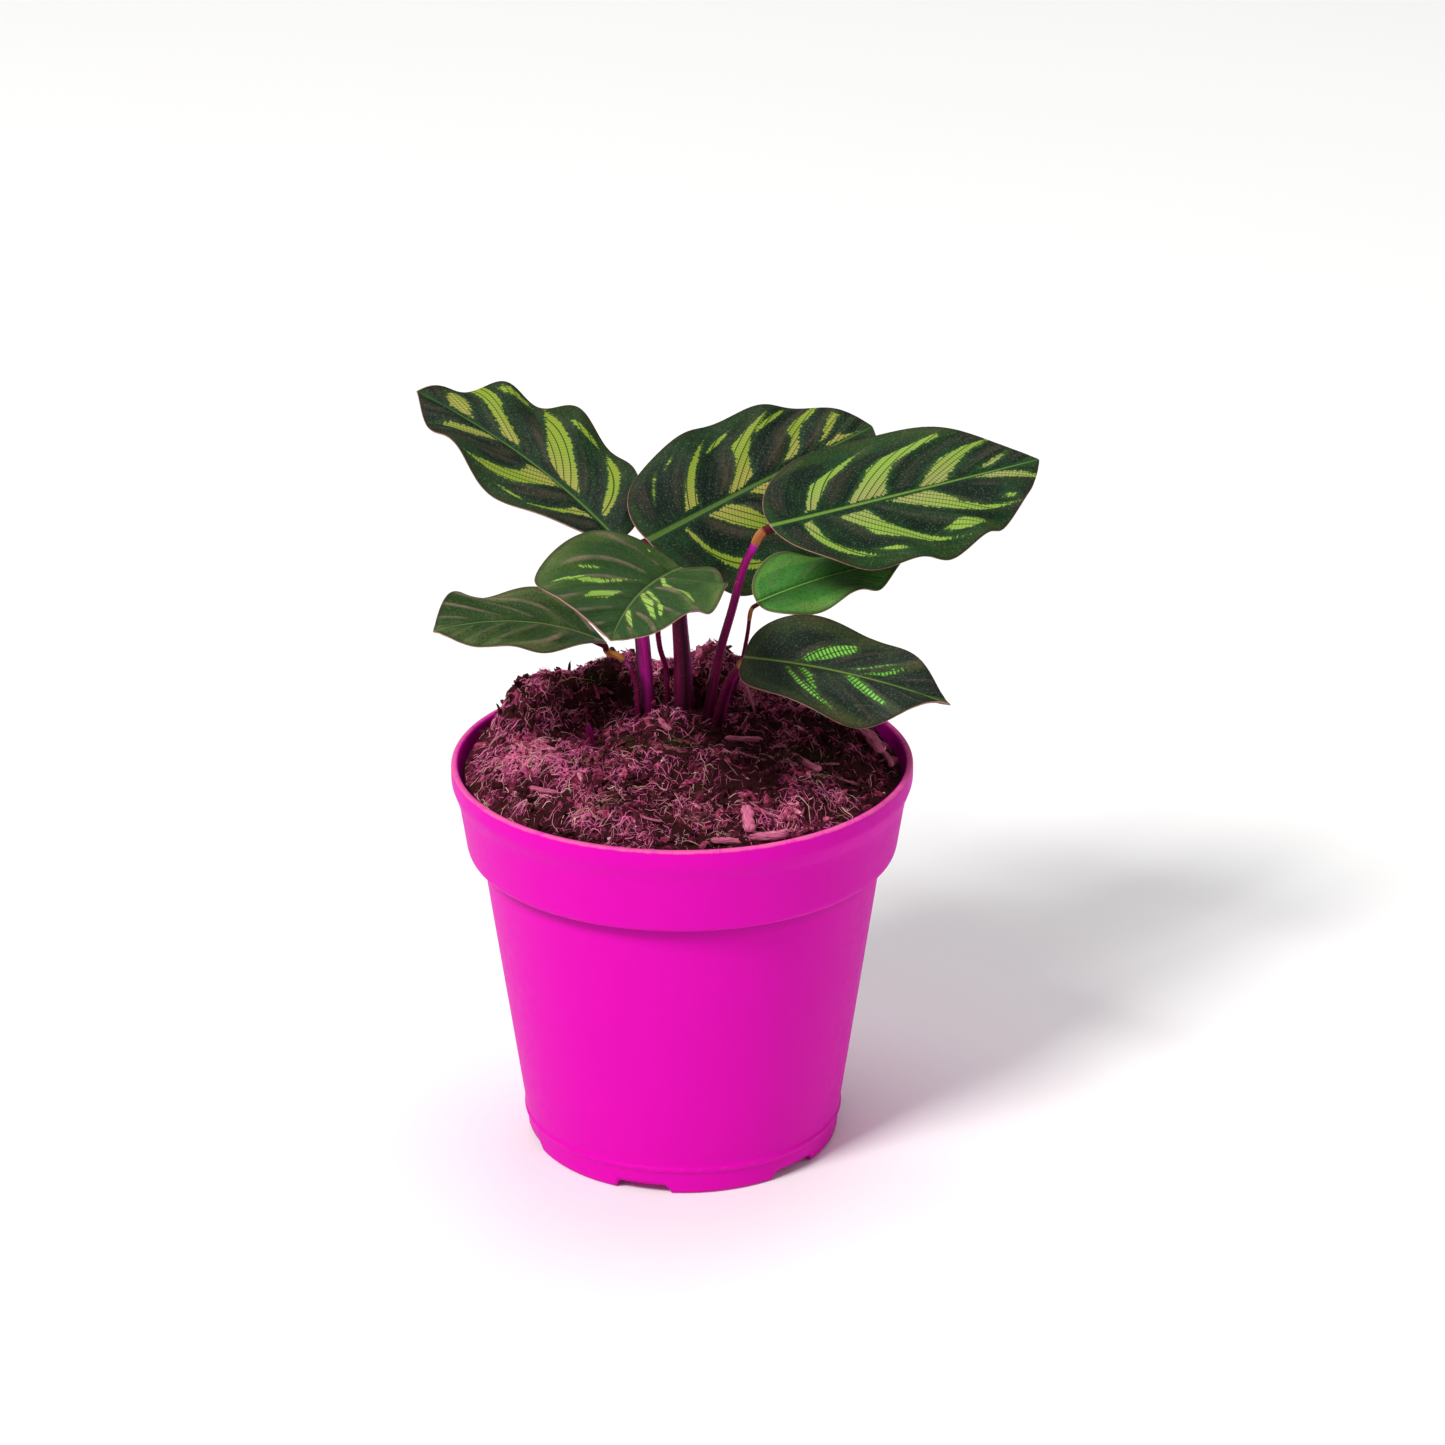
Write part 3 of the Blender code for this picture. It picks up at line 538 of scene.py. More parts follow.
def bark_material():
    """Split pine bark and wood: long grain of about 0.4 mm, pinkish tan with dark lines, matt."""
    mat, shader = new_material("split_bark")
    run = add(mat, "UVMap", uv_map="surface")
    run = add(mat, "Mapping", {"Vector": run, "Scale": (0.35, 2.6, 1.0)})
    lines = noise(mat, run, 1.0, 5.0, 0.6)
    tint = point_value(mat, "tint")
    base = painted(mat, "#7A2F4A", [
        (tint, "#CC648A"),
        (ramp(mat, lines, 0.53, 0.70), "#E8A0AC"),
        (ramp(mat, lines, 0.46, 0.34), "#40131F"),
    ])
    rough = ramp(mat, lines, 0.0, 1.0, 0.65, 0.95)
    return finish_material(mat, shader, base, rough, lines, 0.4, 1.0, Specular_IOR_Level=0.3)


def perlite_material():
    """Expanded perlite: dull white foamed glass with pits of about 0.3 mm."""
    mat, shader = new_material("expanded_perlite")
    place = add(mat, "TexCoord", out=3)
    pits = add(mat, "TexVoronoi", {"Vector": place, "Scale": 3500.0})
    base = painted(mat, "#E9DDE2", [
        (ramp(mat, pits, 0.5, 0.1, high=0.6), "#B59AA6"),
    ])
    rough = ramp(mat, pits, 0.0, 1.0, 0.75, 0.95)
    return finish_material(mat, shader, base, rough, pits, 0.1, 0.8)


# The greens of each leaf: its lamina, the dark ovals, the part near its edge, the browner bands, the light marks
# near the midrib and far from it, and the midrib itself. band, crest and valley: how strongly the browner bands,
# which are partly a painted sheen, the pinkish painted highlight on the crests of the side folds and the painted
# shade in the valleys between them are laid on. bar: how strongly the light marks are divided between their
# cross veins, bars: the scale of those stripes, gap: the colour between them.
CROSS_VEINS = dict(bar=0.5, bars=0.419, gap="#4A7528")
TONES = {
    "deep": dict(CROSS_VEINS, lamina="#1D3820", oval="#0D1A15", outer="#2A3819", brown="#3E3826", near="#A89C50",
                 mark="#8C9C34", rib="#506A30", band=0.55, crest=0.10, valley=0.0, bar=0.45),
    "bright": dict(CROSS_VEINS, lamina="#1C401E", oval="#0D1E17", outer="#34421B", brown="#38372A", near="#A4A262",
                   mark="#92AE48", rib="#6A8A3A", band=0.50, crest=0.10, valley=0.0, bar=0.45),
    "dull": dict(lamina="#2E3D27", oval="#1A241F", outer="#48482A", brown="#38342A", near="#63A838", mark="#80C450",
                 rib="#6A7634", band=0.18, crest=0.10, valley=0.2, bar=0.90, bars=0.36, gap="#2A4A20"),
    "grey": dict(CROSS_VEINS, lamina="#425F27", oval="#2C4A22", outer="#5E6C3C", brown="#665E42", near="#B4CC6A",
                 mark="#A2CC58", rib="#6A7844", band=0.0, crest=0.75, valley=0.60),
    "plain": dict(CROSS_VEINS, lamina="#5A6638", oval="#2C4420", outer="#5E6440", brown="#5B5640", near="#7CA848",
                  mark="#7CA848", rib="#74824A", band=0.0, crest=0.75, valley=0.70),
    "young": dict(CROSS_VEINS, lamina="#549440", oval="#3A762E", outer="#5E8638", brown="#4D8A40", near="#7CC050",
                  mark="#7CC050", rib="#7FB84C", band=0.0, crest=0.15, valley=0.2),
}


def leaf_material(tone):
    """The upper face of a living leaf: waxy and satin, with veins, light marks, dark ovals and a pale margin. The
    valleys of its side folds get painted shade, their crests a pinkish painted highlight, and its browner bands are
    partly a painted sheen.

    The point attributes light, rib and rim are distances in millimetres from the edge of the light marks, of the
    midrib and of the leaf; out runs from the midrib to the edge; oval, band and crest are shares from 0 to 1. The
    UV map holds millimetres across the side veins and along them.
    """
    shades = TONES[tone]
    mat, shader = new_material("waxy_leaf_" + tone)
    place = add(mat, "TexCoord", out=3)
    run = add(mat, "UVMap", uv_map="surface")
    light, oval, band, crest, rib, rim, out = (
        point_value(mat, key) for key in ("light", "oval", "band", "crest", "rib", "rim", "out")
    )
    cloud = noise(mat, place, 90.0, 4.0, 0.6)
    mottle = noise(mat, place, 420.0, 4.0, 0.6)
    # Single cells are about 0.05 mm; their sparkle is drawn at about 0.4 mm so that it shows.
    speck = noise(mat, place, 2500.0, 1.0)
    # Side veins part at about 2 mm on such a leaf, with finer ones between, drawn 0.8 mm apart.
    veins = stripes(mat, run, "X", 0.157, 0.3, detail_scale=0.3)
    threads = stripes(mat, run, "X", 0.393, 0.8)
    # The cross veins of such a leaf are about 0.5 mm apart; they are drawn 0.75 to 0.9 mm apart so that they show.
    bars = stripes(mat, run, "Y", shades["bars"], 0.9, 2.0, 1.2)
    teeth = add(mat, "Mapping", {"Vector": run, "Scale": (0.35, 1.45, 1.0)})
    teeth = noise(mat, teeth, 1.0, 2.0, 0.7)
    teeth = ramp(mat, teeth, 0.3, 0.7, -0.50, 0.20)
    depth = plus(mat, light, teeth)
    on_mark = ramp(mat, depth, -0.05, 0.12)
    halo = ramp(mat, depth, -0.4, 0.1, high=0.14)
    on_vein = ramp(mat, veins, 0.91, 0.97, high=0.92)
    on_vein = times(mat, on_vein, on_mark)
    on_bar = ramp(mat, bars, 0.58, 0.30, high=shades["bar"])
    on_bar = times(mat, on_bar, on_mark)
    on_rib = ramp(mat, rib, -0.10, 0.12)
    flank = ramp(mat, rib, -0.75, -0.15, high=0.55)
    lip = times(mat, mottle, ramp(mat, rim, 0.18, 0.04))
    lip = ramp(mat, lip, 0.15, 0.45, high=0.7)
    seam = ramp(mat, rim, 1.1, 0.25, high=0.6)
    outer = ramp(mat, rim, 5.5, 0.8)
    outer = times(mat, outer, ramp(mat, cloud, 0.35, 0.65))
    streak = ramp(mat, threads, 0.75, 1.0, high=0.05)
    soft = ramp(mat, cloud, 0.25, 0.5)
    on_oval = times(mat, oval, soft)
    # The browner bands are partly the leaf's own brown and partly a painted sheen where the folds slope.
    band_and_sheen = times(mat, band, shades["band"])
    # The pinkish colour on the crests of the side folds is a painted highlight, broken into patches by the cloud.
    crest_highlight = ramp(mat, crest, 0.72, 1.0, high=shades["crest"])
    highlight_patches = ramp(mat, cloud, 0.38, 0.62)
    crest_highlight = times(mat, crest_highlight, highlight_patches)
    # The valleys between the side folds are painted darker, as painted shade.
    valley_shade = ramp(mat, crest, 0.42, 0.05, high=shades["valley"])
    light_tone = painted(mat, shades["near"], [
        (ramp(mat, out, 0.05, 0.40), shades["mark"]),
    ])
    base = painted(mat, shades["lamina"], [
        (ramp(mat, mottle, 0.4, 0.7, high=0.5), shades["oval"]),
        (outer, shades["outer"]),
        (on_oval, shades["oval"]),
        # The browner bands: partly the leaf's own brown, partly a painted sheen.
        (band_and_sheen, shades["brown"]),
        # Painted shade in the valleys between the side folds.
        (valley_shade, shades["oval"]),
        # Painted highlight on the crests of the side folds.
        (crest_highlight, "#94786A"),
        (streak, shades["rib"]),
        (ramp(mat, speck, 0.56, 0.78, high=0.36), "#6C7F5C"),
        (ramp(mat, speck, 0.44, 0.24, high=0.60), "#101C14"),
        (seam, "#2E2620"),
        (flank, "#1C4420"),
        (halo, shades["rib"]),
        (on_mark, light_tone),
        (on_bar, shades["gap"]),
        (on_vein, "#1C3A17"),
        (on_rib, shades["rib"]),
        (lip, "#B58C7A"),
    ])
    rough = ramp(mat, mottle, 0.0, 1.0, 0.36, 0.54)
    height = times(mat, veins, 0.5)
    height = plus(mat, height, times(mat, threads, 0.05))
    height = plus(mat, height, times(mat, bars, 0.15))
    return finish_material(mat, shader, base, rough, height, 0.10, 0.8, IOR=1.45, Specular_IOR_Level=0.10)


def leaf_under_material(young):
    """The lower face of a leaf: matt wine purple with paler veins, or a pale green on the youngest leaf."""
    mat, shader = new_material("leaf_underside_young" if young else "leaf_underside")
    ground, vein, edge = ("#5F8A4A", "#8FB070", "#A88A74") if young else ("#5C1F3E", "#8A4060", "#A8787A")
    place = add(mat, "TexCoord", out=3)
    run = add(mat, "UVMap", uv_map="surface")
    rim = point_value(mat, "rim")
    mottle = noise(mat, place, 260.0, 5.0)
    veins = stripes(mat, run, "X", 0.285, 0.5)
    base = painted(mat, ground, [
        (ramp(mat, mottle, 0.35, 0.75, high=0.5), vein),
        (ramp(mat, veins, 0.75, 0.95, high=0.3), vein),
        (ramp(mat, rim, 0.40, 0.10), edge),
    ])
    rough = ramp(mat, mottle, 0.0, 1.0, 0.50, 0.70)
    return finish_material(mat, shader, base, rough, veins, 0.05, 0.8, IOR=1.45, Specular_IOR_Level=0.2)


def stalk_material():
    """A fresh leaf stalk: juicy wine purple to magenta, with an orange swelling under the blade.

    The point attribute left is the length of stalk that remains up to the blade, in millimetres, and joint the
    length of its swelling: a dark cup, then orange, then a pink ring where the purple begins.
    """
    mat, shader = new_material("fresh_leaf_stalk")
    place = add(mat, "TexCoord", out=3)
    run = add(mat, "UVMap", uv_map="surface")
    lengthwise = add(mat, "Mapping", {"Vector": run, "Scale": (2.6, 0.10, 1.0)})
    streak = noise(mat, lengthwise, 1.0, 4.0, 0.65)
    mottle = noise(mat, place, 700.0, 3.0)
    dark, bright, left, joint, under = (
        point_value(mat, key) for key in ("dark", "bright", "left", "joint", "under")
    )
    past = add(mat, "Math", {0: left, 1: joint}, operation="SUBTRACT")
    swollen = ramp(mat, past, 0.25, -0.25)
    ring = ramp(mat, past, 2.2, 0.2, high=0.9)
    ring = times(mat, ring, ramp(mat, bright, 0.0, 0.1))
    base = painted(mat, "#640A38", [
        (bright, "#B00C8C"),
        (ramp(mat, streak, 0.50, 0.72, high=0.75), "#8E1458"),
        (ramp(mat, streak, 0.48, 0.32, high=0.8), "#36081F"),
        (ramp(mat, mottle, 0.66, 0.78, high=0.6), "#B85C96"),
        (dark, "#3A0722"),
        (ring, "#B01496"),
        (swollen, "#985A2E"),
        (times(mat, swollen, ramp(mat, streak, 0.5, 0.65)), "#BC8446"),
        (times(mat, swollen, ramp(mat, streak, 0.46, 0.3)), "#8A2A34"),
        (times(mat, swollen, ramp(mat, left, 1.5, 1.0)), "#4A0F1C"),
        (under, "#6E5638"),
    ])
    rough = ramp(mat, mottle, 0.0, 1.0, 0.34, 0.52)
    return finish_material(mat, shader, base, rough, streak, 0.10, 0.6, IOR=1.42, Specular_IOR_Level=0.15)


def hair_material():
    """Soft plant hairs: thin, pale and a little shiny."""
    mat, shader = new_material("plant_hair")
    place = add(mat, "TexCoord", out=3)
    mottle = noise(mat, place, 300.0)
    base = painted(mat, "#B87098", [(mottle, "#8A3C6C")])
    rough = ramp(mat, mottle, 0.0, 1.0, 0.40, 0.60)
    return finish_material(mat, shader, base, rough)


def floor_material():
    """A painted studio floor: matt and nearly white."""
    mat, shader = new_material("painted_floor")
    place = add(mat, "TexCoord", out=3)
    cloud = noise(mat, place, 3.0)
    base = painted(mat, "#FBFBFB", [(cloud, "#F8F8F8")])
    rough = ramp(mat, cloud, 0.0, 1.0, 0.80, 0.90)
    return finish_material(mat, shader, base, rough, Specular_IOR_Level=0.1)


# The pot's finer piece


def rounded(profile, radius, steps=3):
    """The profile with each corner replaced by a short curve, which starts at most radius before the corner."""
    corners = np.array(profile)
    before = corners[:-2] - corners[1:-1]
    after = corners[2:] - corners[1:-1]
    reach_before = np.minimum(radius, np.linalg.norm(before, axis=1) * 0.45)[:, None]
    reach_after = np.minimum(radius, np.linalg.norm(after, axis=1) * 0.45)[:, None]
    start, end = corners[1:-1] + unit(before) * reach_before, corners[1:-1] + unit(after) * reach_after
    share = np.linspace(0, 1, steps + 1)[None, :, None]
    middle = corners[1:-1, None]
    curve = (1 - share) ** 2 * start[:, None] + 2 * share * (1 - share) * middle + share**2 * end[:, None]
    return np.vstack([corners[:1], curve.reshape(-1, 2), corners[-1:]])


def close_steps(profile, longest):
    """The profile with points added so that no step is longer than longest."""
    parts = [profile[:1]]
    for a, b in zip(profile[:-1], profile[1:]):
        count = max(1, math.ceil(np.linalg.norm(b - a) / longest))
        parts.append(a + (b - a) * np.linspace(0, 1, count + 1)[1:, None])
    return np.vstack(parts)


def notch_height(x, y):
    """How high the foot is cut away at a point: a slanted step over each notch's half width."""
    height = np.zeros_like(x)
    for degrees in NOTCH_DEGREES:
        turn = math.radians(degrees)
        ahead, aside = x * math.cos(turn) + y * math.sin(turn), -x * math.sin(turn) + y * math.cos(turn)
        step = np.clip((NOTCH_HALF - np.abs(aside)) / NOTCH_SLANT, 0, 1) * NOTCH_HEIGHT
        height = np.maximum(height, np.where(ahead > 30, step, 0))
    return height


def make_pot(plastic):
    """The pot: its profile turned about Z, with notches lifted out of the foot ring and drain holes cut.

    A point is (r cos a, r sin a, z) for each profile point (r, z) and angle a. The wall is thin, so r also
    leaves the circle by up to 0.2 mm near the lip, as a moulded pot does.
    """
    profile = [(0.0, FLOOR_TOP), *POT_INSIDE, *POT_OUTSIDE, (FOOT_INSIDE, 0.3), (FOOT_INSIDE, FLOOR_UNDER),
               (0.0, FLOOR_UNDER)]
    profile = close_steps(rounded(profile, POT_CORNER), POT_STEP)
    spread = [math.degrees(math.asin(half / FOOT_MIDDLE)) for half in (NOTCH_HALF, NOTCH_HALF - NOTCH_SLANT)]
    corners = [degrees + sign * share for degrees in NOTCH_DEGREES for share in spread for sign in (-1, 1)]
    angles = np.unique(np.round(np.concatenate([np.arange(0, 360, POT_TURN), np.mod(corners, 360)]), 3))
    radius, angle = np.meshgrid(profile[:, 0], np.radians(angles), indexing="ij")
    height = np.repeat(profile[:, 1:], len(angles), 1)
    high = ease(height, 60, 92)
    waves = POT_WAVE * np.sin(2 * angle + 0.6) + POT_WAVE * np.sin(5 * angle + 1.1)
    radius = radius + high * waves * (radius > 40)
    x, y = radius * np.cos(angle), radius * np.sin(angle)
    low = (radius > 33.0) & (height < NOTCH_HEIGHT + 0.2)
    height = np.where(low, np.maximum(height, notch_height(x, y)), height)
    # The top of the lip is painted paler, partly as scuffing and partly as a painted highlight; the bead near the
    # foot gets a little of the same.
    lip = ease(height, 90.9, 91.7) * ease(radius, 50.0, 51.2)
    bead = ease(height, 5.6, 6.2) * ease(height, 7.3, 6.8) * (radius > 36)
    wear_and_highlight = np.clip(lip + 0.35 * bead, 0, 1)
    # A band of painted shade on the wall just under the collar, where the collar casts its shadow.
    collar_shade = 0.60 * ease(height, COLLAR_FOOT - 3.2, COLLAR_FOOT) * ease(height, COLLAR_FOOT + 0.3, COLLAR_FOOT)
    collar_shade = collar_shade * (radius > 44.6) * (radius < 47.0)
    points = np.stack([x, y, height], -1).reshape(-1, 3)
    pot = make_piece("moulded_pot", points, grid_faces(len(profile), len(angles), closed=True), [plastic],
                     values={"wear_and_highlight": wear_and_highlight.ravel(), "collar_shade": collar_shade.ravel()}, merge=0.002)
    sides = 32
    turn = np.linspace(0, 2 * np.pi, sides, endpoint=False)
    rings = np.array([(0.0, -1.0), (DRAIN_RADIUS, -1.0), (DRAIN_RADIUS, 5.0), (0.0, 5.0)])
    reach, level = rings[:, :1], np.repeat(rings[:, 1:], sides, 1)
    hole = np.stack([reach * np.cos(turn), reach * np.sin(turn), level], -1)
    spots = np.radians(NOTCH_DEGREES)
    spots = np.stack([DRAIN_CIRCLE * np.cos(spots), DRAIN_CIRCLE * np.sin(spots), 0 * spots], -1)
    holes = (hole.reshape(1, -1, 3) + spots[:, None]).reshape(-1, 3)
    faces = many(grid_faces(len(rings), sides, closed=True), len(rings) * sides, len(spots))
    cutter = make_piece("drain_cutter", holes, faces, [plastic], merge=0.002)
    cut = pot.modifiers.new("drains", "BOOLEAN")
    cut.operation, cut.object, cut.solver = "DIFFERENCE", cutter, "EXACT"
    graph = bpy.context.evaluated_depsgraph_get()
    pot.data = bpy.data.meshes.new_from_object(pot.evaluated_get(graph), depsgraph=graph)
    pot.modifiers.clear()
    bpy.data.objects.remove(cutter, do_unlink=True)
    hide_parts("pot")


# The soil and what lies in it


def bell(x, y, at_x, at_y, reach_x, reach_y):
    """1 at one place and less around it: e to minus the square of the distance from it, counted in its reaches."""
    return np.exp(-(((x - at_x) / reach_x) ** 2 + ((y - at_y) / reach_y) ** 2))


def soil_form(x, y):
    """Height of the heaped soil without its crumbs: a dome plus rounded mounds, lower near the wall."""
    inside = np.maximum(0.0, 1.0 - (x * x + y * y) / DOME_RADIUS**2)
    height = SOIL_EDGE + SOIL_RISE * inside**0.8
    for *place, rise in MOUNDS:
        height = height + rise * bell(x, y, *place) * np.minimum(1.0, 4.0 * inside)
    return height


def soil_height(x, y):
    """The form plus lumps of 10, 5, 2.4 and 1.1 mm, with creased valleys and a dip at the shoot."""
    calm = np.minimum(1.0, 5.0 * np.maximum(0.0, 1.0 - (x * x + y * y) / LUMP_RADIUS**2))
    lumps = 1.5 * grain(x, y, 10.0, 1) + 1.6 * np.abs(grain(x, y, 5.0, 2)) + 1.1 * np.abs(grain(x, y, 2.4, 3)) - 0.9
    lumps = lumps + 0.4 * grain(x, y, 1.1, 4)
    lumps = lumps + SHOOT_DIP[-1] * bell(x, y, *SHOOT_DIP[:-1])
    return soil_form(x, y) + calm * lumps


def soil_tint_and_shade(x, y):
    """How pale and pink the soil is at a place: more on the left mound and in patches, less in its valleys and in
    the darker patches, where the lower values are painted shade.
    """
    # The 5 mm term follows the lumps of soil_height, so that the tops of the lumps are painted paler and their
    # valleys darker: painted light and shade.
    patch = 0.17 * grain(x, y, 9.0, 5) + 0.12 * grain(x, y, 3.5, 6) + 0.10 * np.abs(grain(x, y, 5.0, 2)) - 0.05
    for *place, paler in SOIL_TINTS_AND_SHADES:
        patch = patch + paler * bell(x, y, *place)
    return patch


def make_soil(peat):
    """The soil: a round sheet of heights that runs down the pot's inside wall to its floor."""
    rings, around = 140, 360
    share = np.linspace(0, 1, rings + 1)
    angle = np.linspace(0, 2 * np.pi, around, endpoint=False)
    radius = SOIL_RADIUS - SOIL_GAP
    x, y = radius * share[:, None] * np.cos(angle), radius * share[:, None] * np.sin(angle)
    top = np.stack([x, y, soil_height(x, y)], -1)
    wall = [(r - SOIL_GAP, z + SOIL_LIFT) for r, z in POT_INSIDE[::-1] if z < SOIL_EDGE - 1.0]
    wall = np.array(wall + [(0.0, FLOOR_TOP + SOIL_LIFT)])
    reach, level = wall[:, :1], np.repeat(wall[:, 1:], around, 1)
    side = np.stack([reach * np.cos(angle), reach * np.sin(angle), level], -1)
    points = np.concatenate([top, side]).reshape(-1, 3)
    # The bed is drawn 0.20 darker than the soil's tint: partly the peat's own dark colour, partly painted shade in
    # the gaps between the crumbs and threads.
    soil = make_piece("peat_bed", points, grid_faces(rings + 1 + len(wall), around, closed=True), [peat],
                      values={"tint": soil_tint_and_shade(points[:, 0], points[:, 1]) - 0.20}, merge=0.002)
    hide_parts("soil")


def soil_spots(count, edge):
    """Random points on the soil within edge of the axis, as x, y and the height there."""
    radius, angle = edge * np.sqrt(CHANCE.random(count)), CHANCE.uniform(0, 2 * np.pi, count)
    x, y = radius * np.cos(angle), radius * np.sin(angle)
    return np.stack([x, y, soil_height(x, y)], -1)


def make_crumbs(name, mat, count, small, large, flat, tint_range):
    """Crumbs of soil: a ball of 6 by 4 faces, each stretched, dented at every point and turned in its own way."""
    around, rows = 6, 5
    angle, tilt = np.meshgrid(np.linspace(0, 2 * np.pi, around, endpoint=False), np.linspace(0, np.pi, rows))
    ball = np.stack([np.sin(tilt) * np.cos(angle), np.sin(tilt) * np.sin(angle), np.cos(tilt)], -1).reshape(-1, 3)
    size = small * (large / small) ** (CHANCE.random(count) ** 1.8)
    spots = soil_spots(count, CRUMB_START)
    away = np.maximum(np.linalg.norm(spots[:, :2], axis=1), 1)
    spots[:, :2] *= np.minimum(1.0, (CRUMB_LIMIT - size) / away)[:, None]
    spots[:, 2] = soil_height(spots[:, 0], spots[:, 1]) + 0.25 * size
    stretch = size[:, None] * CHANCE.uniform([0.9, 0.35, 0.25 * flat], [1.9, 0.8, 0.7 * flat], (count, 3))
    dents = CHANCE.uniform(0.6, 1.3, (count, rows * around, 1))
    dents[:, :around] = dents[:, :1]
    dents[:, -around:] = dents[:, -1:]
    shapes = ball[None] * dents * stretch[:, None]
    turns = np.linalg.qr(CHANCE.normal(size=(count, 3, 3)))[0]
    points = (np.einsum("nij,npj->npi", turns, shapes) + spots[:, None]).reshape(-1, 3)
    tint = CHANCE.uniform(*tint_range, count) + soil_tint_and_shade(spots[:, 0], spots[:, 1])
    faces = many(grid_faces(rows, around, closed=True), rows * around, count)
    piece = make_piece(name, points, faces, [mat], values={"tint": np.repeat(tint, rows * around)}, merge=0.0002,
                       smooth=False)


def make_fibres(name, mat, count, tufts, lengths, radii, rise, steps, sides):
    """Threads in the soil: each follows the soil's height along a curling path and lifts off it as a sine between
    its ends, or, for four in ten, more and more toward its loose end. Its radius shrinks to both ends.

    Most threads start near one of a number of tufts, which stand where the soil is pale and whose threads share
    a tint; the rest lie anywhere.
    """
    start = soil_spots(count, FIBRE_START)
    hearts = soil_spots(4 * tufts, TUFT_START)
    hearts = hearts[np.argsort(CHANCE.normal(0, 0.12, 4 * tufts) - soil_tint_and_shade(hearts[:, 0], hearts[:, 1]))[:tufts]]
    hearts[: tufts // 8, :2] = CHANCE.normal(*PALE_MOUND, (tufts // 8, 2))
    near = CHANCE.integers(0, tufts, count)
    joined = CHANCE.random(count) < 0.7
    start[joined, :2] = (hearts[near, :2] + CHANCE.normal(0, 1.3, (count, 2)))[joined]
    heading = CHANCE.uniform(0, 2 * np.pi, count)
    long = lengths[0] * (lengths[1] / lengths[0]) ** (CHANCE.random(count) ** 1.4)
    curl = CHANCE.normal(0, 0.7, count)
    share = np.linspace(0, 1, steps)
    way = heading[:, None] + curl[:, None] * share + 0.35 * np.sin(CHANCE.uniform(0, 6, count)[:, None] + 6 * share)
    step = long[:, None] / (steps - 1)
    x = start[:, :1] + np.cumsum(np.cos(way) * step, 1) - 0.5 * long[:, None] * np.cos(way[:, :1])
    y = start[:, 1:2] + np.cumsum(np.sin(way) * step, 1) - 0.5 * long[:, None] * np.sin(way[:, :1])
    keep = np.minimum(1.0, FIBRE_LIMIT / np.maximum(np.sqrt(x * x + y * y), 1))
    x, y = x * keep, y * keep
    thick = radii[0] * (radii[1] / radii[0]) ** (CHANCE.random(count) ** 1.5)
    lift = CHANCE.uniform(0.0, 1.0, count) ** 1.5 * rise * long
    loose = CHANCE.random(count) < 0.4
    bow = np.where(loose[:, None], share[None] ** 1.3, np.sin(np.pi * share)[None])
    z = soil_height(x, y) + lift[:, None] * bow + 0.3 * thick[:, None] + CHANCE.uniform(0, 0.25, (count, 1))
    lines = np.stack([x, y, z], -1)
    taper = np.sin(np.pi * np.clip(0.12 + 0.80 * share, 0, 1)) ** 0.5
    body = thick[:, None] * taper * CHANCE.uniform(0.7, 1.2, (count, steps))
    points, faces = tubes(lines, body, np.tile([0.0, 0.0, 1.0], (count, 1)), sides)
    tint = np.where(joined, 0.5 * CHANCE.random(tufts)[near], 0.2) + 0.55 * CHANCE.random(count)
    tint = tint + 1.2 * soil_tint_and_shade(start[:, 0], start[:, 1])
    piece = make_piece(name, points, faces, [mat], values={"tint": np.repeat(tint, (steps + 2) * sides)},
                       merge=0.0002)


